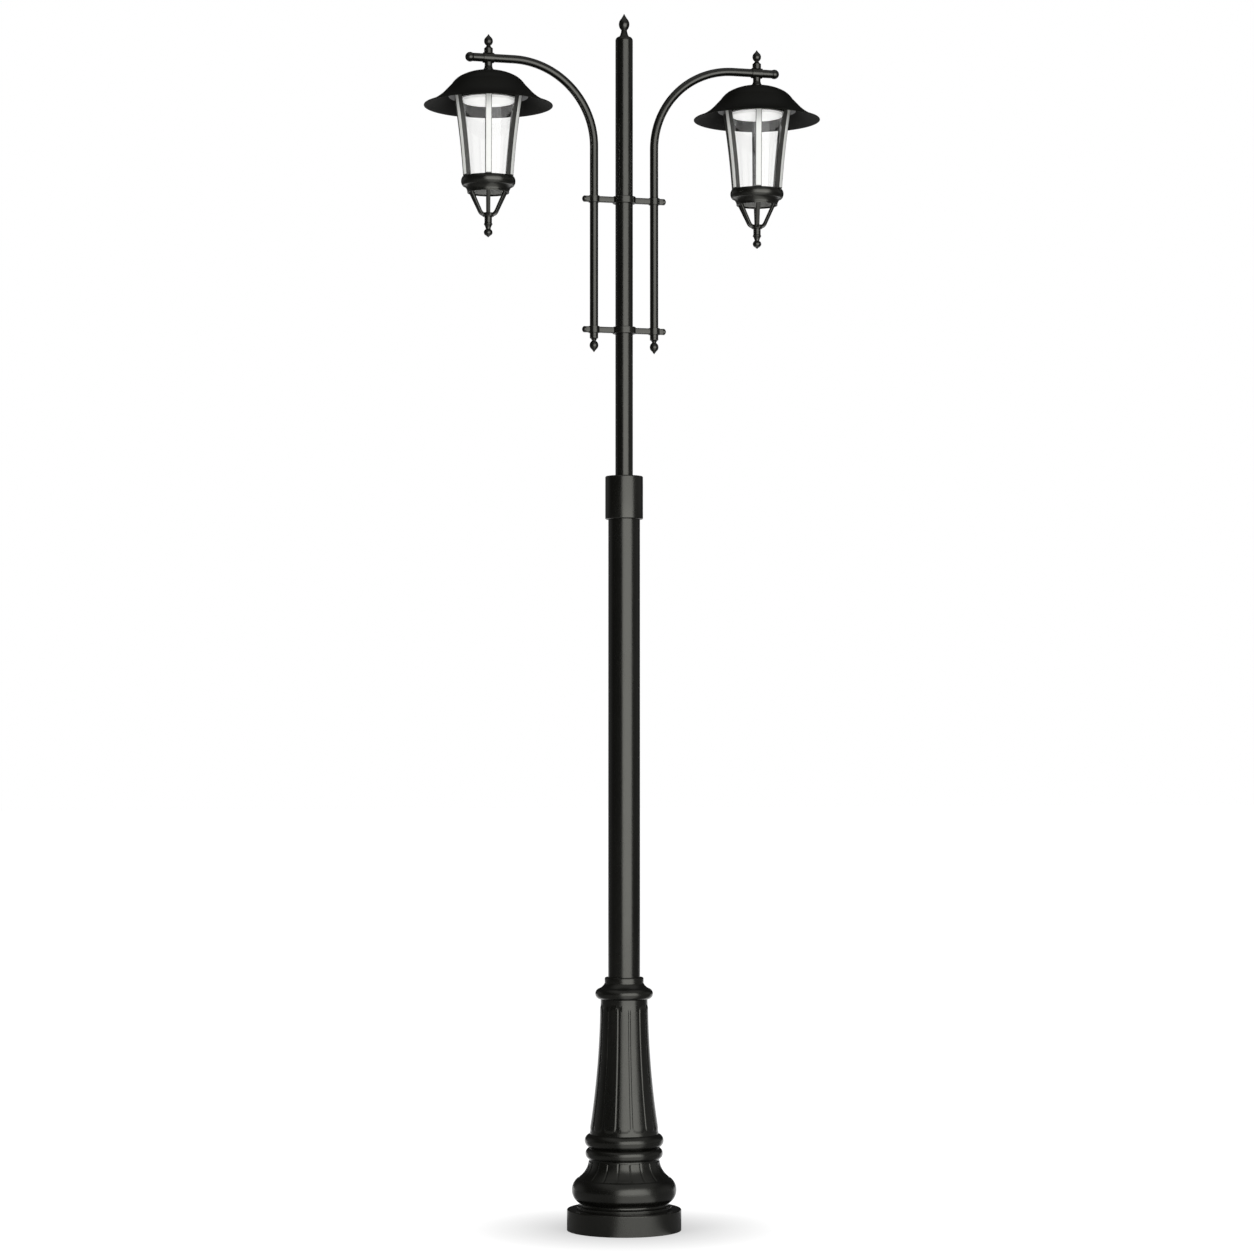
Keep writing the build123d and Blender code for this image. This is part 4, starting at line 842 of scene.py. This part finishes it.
def facing_down(points, quads):
    """Marks the quads whose normal, the cross product of the diagonals, points downwards."""
    a, b, c, d = (points[quads[:, i]] for i in range(4))
    normal = np.cross(c - a, d - b)
    return normal[:, 2] < DOWNWARD * np.linalg.norm(normal, axis=1)


rod_way = ROD_R + RUN_GAP
shade_drops = chain([(rod_way, SHADE_WALL), (rod_way, 0.0)],
                    *(arc(*places, count) for places, count in SHADE_ARCS.values()))
shade_shell = turned(shade_drops * (1, -1) + (0, SHADE_TOP), columns=192)
make_hung("shade_spinning", shade_shell, "shade_black", "shade", second="shade_under", where=facing_down)

# %% Cap
CAP_LOW, CAP_TOP = levels("left_shade_cap")
CAP_R, CAP_RIM, CAP_WAIST_R = 13.8, 3.0, 9.4
CAP_MID_R, CAP_MID_RISE = 10.7, 6.5
cap_side = chain(
    [(rod_way, CAP_LOW), (CAP_R, CAP_LOW)],
    arc((CAP_R, CAP_LOW + CAP_RIM), (CAP_MID_R, CAP_LOW + CAP_MID_RISE), (CAP_WAIST_R, CAP_TOP), 10),
    [(rod_way, CAP_TOP)],
)
make_hung("cap_turning", turned(cap_side, soft=0.6), "cast_black", "shade_cap")

# %% [markdown]
# ### Cage
# Six ribs stand on the lower ring and lean out to the top ring. Their line is an arc, so each rib is one section
# carried along it: a rounded rectangle with a shallow groove down the outer face. A pale strip fills the groove.
# Its pale colour is a painted highlight: the bright line down each rib.

# %% Ribs and strips
RIBS, RIB_ROWS, FRONT = 6, 28, -90.0
RIB_LOW, RIB_TOP = levels("left_cage_ribs")
RIB_LINE = flank((64.4, 72.7, 88.7), RIB_LOW, RIB_TOP, 0.44)
RIB_W, RIB_D, RIB_SOFT = 15.0, 11.0, 1.0
GROOVE_W, GROOVE_D = 13.0, 1.5
STRIP_W, STRIP_D, STRIP_EDGE = 12.6, 1.5, 0.5


def six_round(bar):
    """The same bar at six even places round the lantern, the first at the front."""
    return [placed(bar, FRONT + k * 360 / RIBS) for k in range(RIBS)]


def six_bars(section, low, high, inward):
    """A section (across, out) carried up the rib's line moved in, and turned to six places."""
    line = arc_at(*RIB_LINE, np.linspace(low, high, RIB_ROWS))
    path = np.stack([line[:, 0] - inward, np.zeros(RIB_ROWS), line[:, 1]], 1)
    return joined(*six_round(swept(section, path, np.tile([1.0, 0.0, 0.0], (RIB_ROWS, 1)))))


w, g, d = RIB_W / 2, GROOVE_W / 2, RIB_D / 2
groove = d - GROOVE_D
rib_corners = np.array([(w, -d), (w, d), (g, d), (g, groove), (-g, groove), (-g, d), (-w, d), (-w, -d)])
make_hung("rib_castings", six_bars(soften(rib_corners, RIB_SOFT, True), RIB_LOW, RIB_TOP, RIB_D / 2),
          "rib_black", "cage_ribs")
# the strips' pale colour is a painted highlight down each rib
highlight_strip_section = round_rectangle(STRIP_W, STRIP_D, STRIP_EDGE, count=4)
make_hung("rib_strip_set", six_bars(highlight_strip_section, *levels("left_rib_strips"), STRIP_D / 2), "strip_pale",
          "rib_strips")

# %% [markdown]
# Two rings hold the ribs and the glass. The lower one stands on a small moulded foot, and its black bore is painted
# light grey, a painted light for how bright it shows through the glass. The glass is a thin tapered chimney that
# follows the ribs' line.

# %% Rings and glass
GLASS_RADII, GLASS_WALL = (53.2, 60.2, 66.5), 3.0
GLASS_LOW, GLASS_TOP = levels("left_glass")
RING_LOW, RING_TOP = levels("left_lower_ring")
TOP_RING_LOW, TOP_RING_TOP = levels("left_top_ring")
RING_STEP_Z = RING_LOW + 13.0
# the last radius is the edge of the painted light grey in the ring's bore
RING_BORE_R, RING_FOOT_BORE_R, PAINTED_LIGHT_INSIDE_R = 49.2, 47.0, 49.6
ring_upper = flank((60.7, 64.8, 62.0), RING_STEP_Z, RING_TOP, 0.45)[::-1]
ring_foot = flank((50.0, 52.4, 58.0), RING_LOW, RING_STEP_Z)[::-1]
glass = tuple(zip(GLASS_RADII, (RING_TOP, RIB_LINE[1][1], TOP_RING_LOW)))
glass_low_r, glass_top_r = GLASS_RADII[0], GLASS_RADII[2]


def in_bore(points, quads):
    """Marks the quads whose middles lie nearer to the ring's own axis than the edge of the painted light grey."""
    axis = (points.max(0) + points.min(0))[:2] / 2
    return np.linalg.norm(points[quads].mean(1)[:, :2] - axis, axis=1) < PAINTED_LIGHT_INSIDE_R


top_ring_side = chain(
    [(glass_top_r + SEAT_GAP, TOP_RING_LOW)],
    arc_at(*RIB_LINE, np.linspace(TOP_RING_LOW, TOP_RING_TOP, 4)) - (RIB_D + SEAT_GAP, 0.0),
    [(glass_top_r + SEAT_GAP, TOP_RING_TOP)],
)
make_hung("top_ring_casting", turned(top_ring_side, columns=128, soft=0.7), "cast_black", "top_ring")
lower_ring_side = chain(
    [(glass_low_r + SEAT_GAP, RING_TOP)], arc(*ring_upper, 16), arc(*ring_foot, 10),
    [(RING_FOOT_BORE_R, RING_LOW), (RING_BORE_R, RING_STEP_Z), (RING_BORE_R, GLASS_LOW),
     (glass_low_r + SEAT_GAP, GLASS_LOW)],
)
make_hung("lower_ring_casting", turned(lower_ring_side, columns=128, soft=0.8), "cast_black", "lower_ring",
          second="ring_grey", where=in_bore)
glass_side = chain(
    [(glass_low_r - GLASS_WALL, GLASS_LOW), (glass_low_r, GLASS_LOW)], arc(*glass, 24),
    [(glass_top_r, GLASS_TOP), (glass_top_r - GLASS_WALL, GLASS_TOP)],
    arc(*moved_in(glass, GLASS_WALL)[::-1], 24),
)
make_hung("glass_chimney", turned(glass_side, columns=128), "clear_glass", "glass")

# %% [markdown]
# ### Diffuser
# Under each shade a white opal cup closes the light unit. It is a shallow turned cup, open upwards.

# %% Diffuser
CUP_LOW, CUP_TOP = levels("left_diffuser")
CUP_R, CUP_WALL = 62.5, 2.5
cup_side = chain(peg(CUP_R, CUP_LOW, CUP_TOP), peg(CUP_R - CUP_WALL, CUP_LOW + CUP_WALL, CUP_TOP)[::-1])
make_hung("diffuser_cup", turned(cup_side, columns=128, soft=0.8), "opal", "diffuser")

# %% [markdown]
# ### Basket and drop
# Six thin ribs draw in from a ring under the cage to a hub, and a turned drop hangs from the hub. The rib's line is
# a straight run and a bend, and its section is a rounded bar that keeps square to the line.

# %% Basket
HUB_Z, BASKET_TOP = levels("left_basket")
HUB_R, HUB_FOOT_R, HUB_BORE_R, HUB_H, HUB_CHAMFER = 14.0, 13.0, 4.2, 9.0, 2.0
BASKET_R, BASKET_BORE_R, BASKET_RING_H = 50.0, 46.5, 4.0
BASKET_ROOT, BASKET_END = (46.2, 58.5), (7.0, 4.6)  # radius, height above the hub's foot
BASKET_BEND = (22.6, 13.2), (19.0, 8.6), (13.0, 5.2)
BASKET_BAR_W, BASKET_BAR_D, BASKET_BAR_EDGE = 9.6, 6.4, 1.6


def basket_shell():
    """Ring and hub turned, with six bars whose section stays square to the line from ring to hub."""
    line = chain([BASKET_ROOT], arc(*BASKET_BEND, 10), [BASKET_END]) + (0, HUB_Z)
    along = np.gradient(line, axis=0)
    along /= np.linalg.norm(along, axis=1)[:, None]
    flat = np.zeros(len(line))
    path = np.stack([line[:, 0], flat, line[:, 1]], 1)
    up = np.stack([-along[:, 1], flat, along[:, 0]], 1)
    bar = swept(round_rectangle(BASKET_BAR_W, BASKET_BAR_D, BASKET_BAR_EDGE, count=5), path, up)
    ring = turned(tube_side(BASKET_BORE_R, BASKET_R, BASKET_TOP - BASKET_RING_H, BASKET_TOP), columns=96, soft=0.8)
    hub_side = [(HUB_BORE_R, HUB_Z), (HUB_FOOT_R, HUB_Z), (HUB_R, HUB_Z + HUB_CHAMFER), (HUB_R, HUB_Z + HUB_H),
                (HUB_BORE_R, HUB_Z + HUB_H)]
    return joined(ring, turned(hub_side, soft=0.9), *six_round(bar))


make_hung("basket_casting", basket_shell(), "cast_black", "basket")

# %% Drop
DROP_R, DROP_PEG_R = 8.9, 4.0
BEAD_R, BEAD_HALF, BEAD_DROP = 10.2, 2.5, 18.0
bead_z = HUB_Z - BEAD_DROP
drop_side = chain(
    peg(DROP_PEG_R, HUB_Z + HUB_H, HUB_Z),
    [(DROP_R, HUB_Z)],
    arc((DROP_R, bead_z + BEAD_HALF), (BEAD_R, bead_z), (DROP_R, bead_z - BEAD_HALF), 10),
    spear(DROP_R, bead_z - BEAD_HALF, *DROP_SPEAR, way=-1),
)
make_hung("drop_turning", turned(drop_side), "cast_black", "drop_finial")

# %% [markdown]
# ## Studio
# A pale floor runs far back, and the world behind it is white. A black post shows little but what it mirrors, so
# the room is built from what its tubes mirror in the photograph. A large soft box to the right of the camera gives
# the long band of light down every tube. Besides it, reflections find a white floor in front of the box, a white
# sheet on the floor behind the post, a dim wall on each side that draws the lines along the outlines, a dim ceiling
# that lights what faces up, and a dark room elsewhere. Camera rays find white, and the floor keeps the soft shadow
# round the foot, partly real and partly a painted shadow: the white that camera rays see dims near the foot.

# %% Node helpers for the room
def combined(tree, operation, first, second):
    """MAXIMUM or MULTIPLY of two values."""
    return wired(tree, "Math", "Value", {0: first, 1: second}, operation=operation)


def ray_is(tree, *kinds):
    """1 for a ray of any of these kinds, otherwise 0."""
    path = tree.nodes.new("ShaderNodeLightPath")
    answer = path.outputs[kinds[0]]
    for kind in kinds[1:]:
        answer = combined(tree, "MAXIMUM", answer, path.outputs[kind])
    return answer


def facing(tree, direction, bearing, rise=0.0):
    """Cosine of the angle between a unit direction and a bearing, level or rising: their dot product."""
    turn, lift = math.radians(bearing), math.radians(rise)
    way = (math.cos(lift) * math.cos(turn), math.cos(lift) * math.sin(turn), math.sin(lift))
    return wired(tree, "VectorMath", "Value", {0: direction, 1: way}, operation="DOT_PRODUCT")


# %% [markdown]
# The floor's paint takes light and shadow. On top of it the camera sees a glow that brightens away from the foot,
# a painted shadow round the foot, and reflections see the white floor before the soft box and the sheet behind the
# post.

# %% Floor
FLOOR_HALF = 60.0  # m
FLOOR_PAINT = (0.3, 0.3, 0.3, 1.0)
# painted shadow: the floor's glow for camera rays is weaker near the foot
SHADOW_GLOW_SPAN, SHADOW_GLOW_LEVELS = (0.14, 0.45), (0.54, 0.96)  # m from the post, strength
BOX_BEARING, BOX_EDGE = -83.0, (0.76, 0.9)  # degrees, cosines
SHEET_BEARING, SHEET_EDGE, SHEET_SPAN = 74.3, (0.64, 0.86), (8.0, 12.0)  # degrees, cosines, m
SEEN_RAYS = ("Is Camera Ray", "Is Transmission Ray")
floor_mesh = bpy.data.meshes.new("studio_floor")
floor_corners = FLOOR_HALF * np.array([(-1, -1, 0), (1, -1, 0), (1, 1, 0), (-1, 1, 0)])
floor_mesh.from_pydata(floor_corners.tolist(), [], [(0, 1, 2, 3)])
floor = added("studio_floor", floor_mesh)
floor_finish = bpy.data.materials.new("floor_pale")
floor_finish.use_nodes = True
floor_mesh.materials.append(floor_finish)
print("floor of", round(floor.dimensions.x), "m")

# %% Floor finish
tree = floor_finish.node_tree
tree.nodes.remove(tree.nodes["Principled BSDF"])
spot = wired(tree, "TexCoord", "Object", {})
away = wired(tree, "VectorMath", "Value", {0: spot}, operation="LENGTH")
heading = wired(tree, "VectorMath", "Vector", {0: spot}, operation="NORMALIZE")
# painted shadow round the foot: the glow rises with distance from the post
painted_shadow_glow = ramp(tree, away, SHADOW_GLOW_SPAN, SHADOW_GLOW_LEVELS, "LINEAR")
before_box = ramp(tree, facing(tree, heading, BOX_BEARING), BOX_EDGE, (0.0, 1.0))
sheet = ramp(tree, facing(tree, heading, SHEET_BEARING), SHEET_EDGE, (0.0, 1.0))
near_sheet = combined(tree, "MULTIPLY", sheet, ramp(tree, away, SHEET_SPAN, (1.0, 0.0)))
mirrored = combined(tree, "MAXIMUM", before_box, near_sheet)
seen_painted_shadow_glow = combined(tree, "MULTIPLY", painted_shadow_glow, ray_is(tree, *SEEN_RAYS))
seen_mirrored = combined(tree, "MULTIPLY", mirrored, ray_is(tree, "Is Glossy Ray"))
glow = wired(tree, "Emission", "Emission", {"Strength": combined(tree, "MAXIMUM", seen_painted_shadow_glow, seen_mirrored)})
paint = wired(tree, "BsdfDiffuse", "BSDF", {"Color": FLOOR_PAINT})
both = wired(tree, "AddShader", "Shader", {0: paint, 1: glow})
tree.links.new(both, tree.nodes["Material Output"].inputs["Surface"])
print("floor finish of", len(tree.nodes), "nodes")

# %% World
RIGHT_WALL = (-8.0, 0.0), (0.7, 0.98), (0.03, 0.22)  # bearing and rise, cosines of the edge, strengths
LEFT_WALL = (132.0, 0.0), (0.85, 0.99), (0.03, 0.2)
CEILING = (BOX_BEARING, 72.0), (0.5, 0.97), (0.03, 0.42)
ROOM_STRENGTH = 0.25
WHITE = (1.0, 1.0, 1.0, 1.0)
world = bpy.data.worlds.new("studio")
world.use_nodes = True
bpy.context.scene.world = world
tree = world.node_tree
sky = tree.nodes["Background"]
sky.inputs["Color"].default_value = WHITE
ray = tree.nodes.new("ShaderNodeTexCoord").outputs["Generated"]
right_wall, left_wall, ceiling = (ramp(tree, facing(tree, ray, *way), edge, strength)
                                  for way, edge, strength in (RIGHT_WALL, LEFT_WALL, CEILING))
walls = combined(tree, "MAXIMUM", right_wall, left_wall)
dim = combined(tree, "MAXIMUM", walls, ceiling)
room = wired(tree, "Mix", "Result", {"A": ROOM_STRENGTH, "B": dim, "Factor": ray_is(tree, "Is Glossy Ray")})
white = combined(tree, "MAXIMUM", room, ray_is(tree, *SEEN_RAYS))
tree.links.new(white, sky.inputs["Strength"])
print("world of", len(tree.nodes), "nodes")

# %% [markdown]
# Two lamps light the post. The front soft box is mirrored in every tube. The fill stands far to the left and isn't
# mirrored: it only brightens the pale strips on that side.

# %% Soft box and fill
def soft_box(name, bearing, distance, height, size, radiance, mirrored=True):
    """Area lamp at a bearing from the post, facing it. Its power is radiance times pi times its area."""
    lamp = bpy.data.lights.new(name, "AREA")
    lamp.shape = "RECTANGLE"
    lamp.size, lamp.size_y = size
    lamp.energy = radiance * math.pi * size[0] * size[1]
    stand = added(name, lamp)
    angle = math.radians(bearing)
    stand.location = (distance * math.cos(angle), distance * math.sin(angle), height)
    stand.rotation_euler = (math.radians(90), 0.0, angle + math.radians(90))
    stand.visible_camera = stand.visible_transmission = False
    stand.visible_glossy = mirrored


soft_box("front_soft_box", BOX_BEARING, distance=5.0, height=1.9, size=(6.8, 5.2), radiance=2.8)
soft_box("left_fill", bearing=-155.0, distance=5.0, height=2.4, size=(3.0, 4.0), radiance=3.0, mirrored=False)

# %% [markdown]
# ## Colour
# The view transform is Standard, so a colour renders as it is written.

# %% View transform
bpy.context.scene.view_settings.view_transform = "Standard"
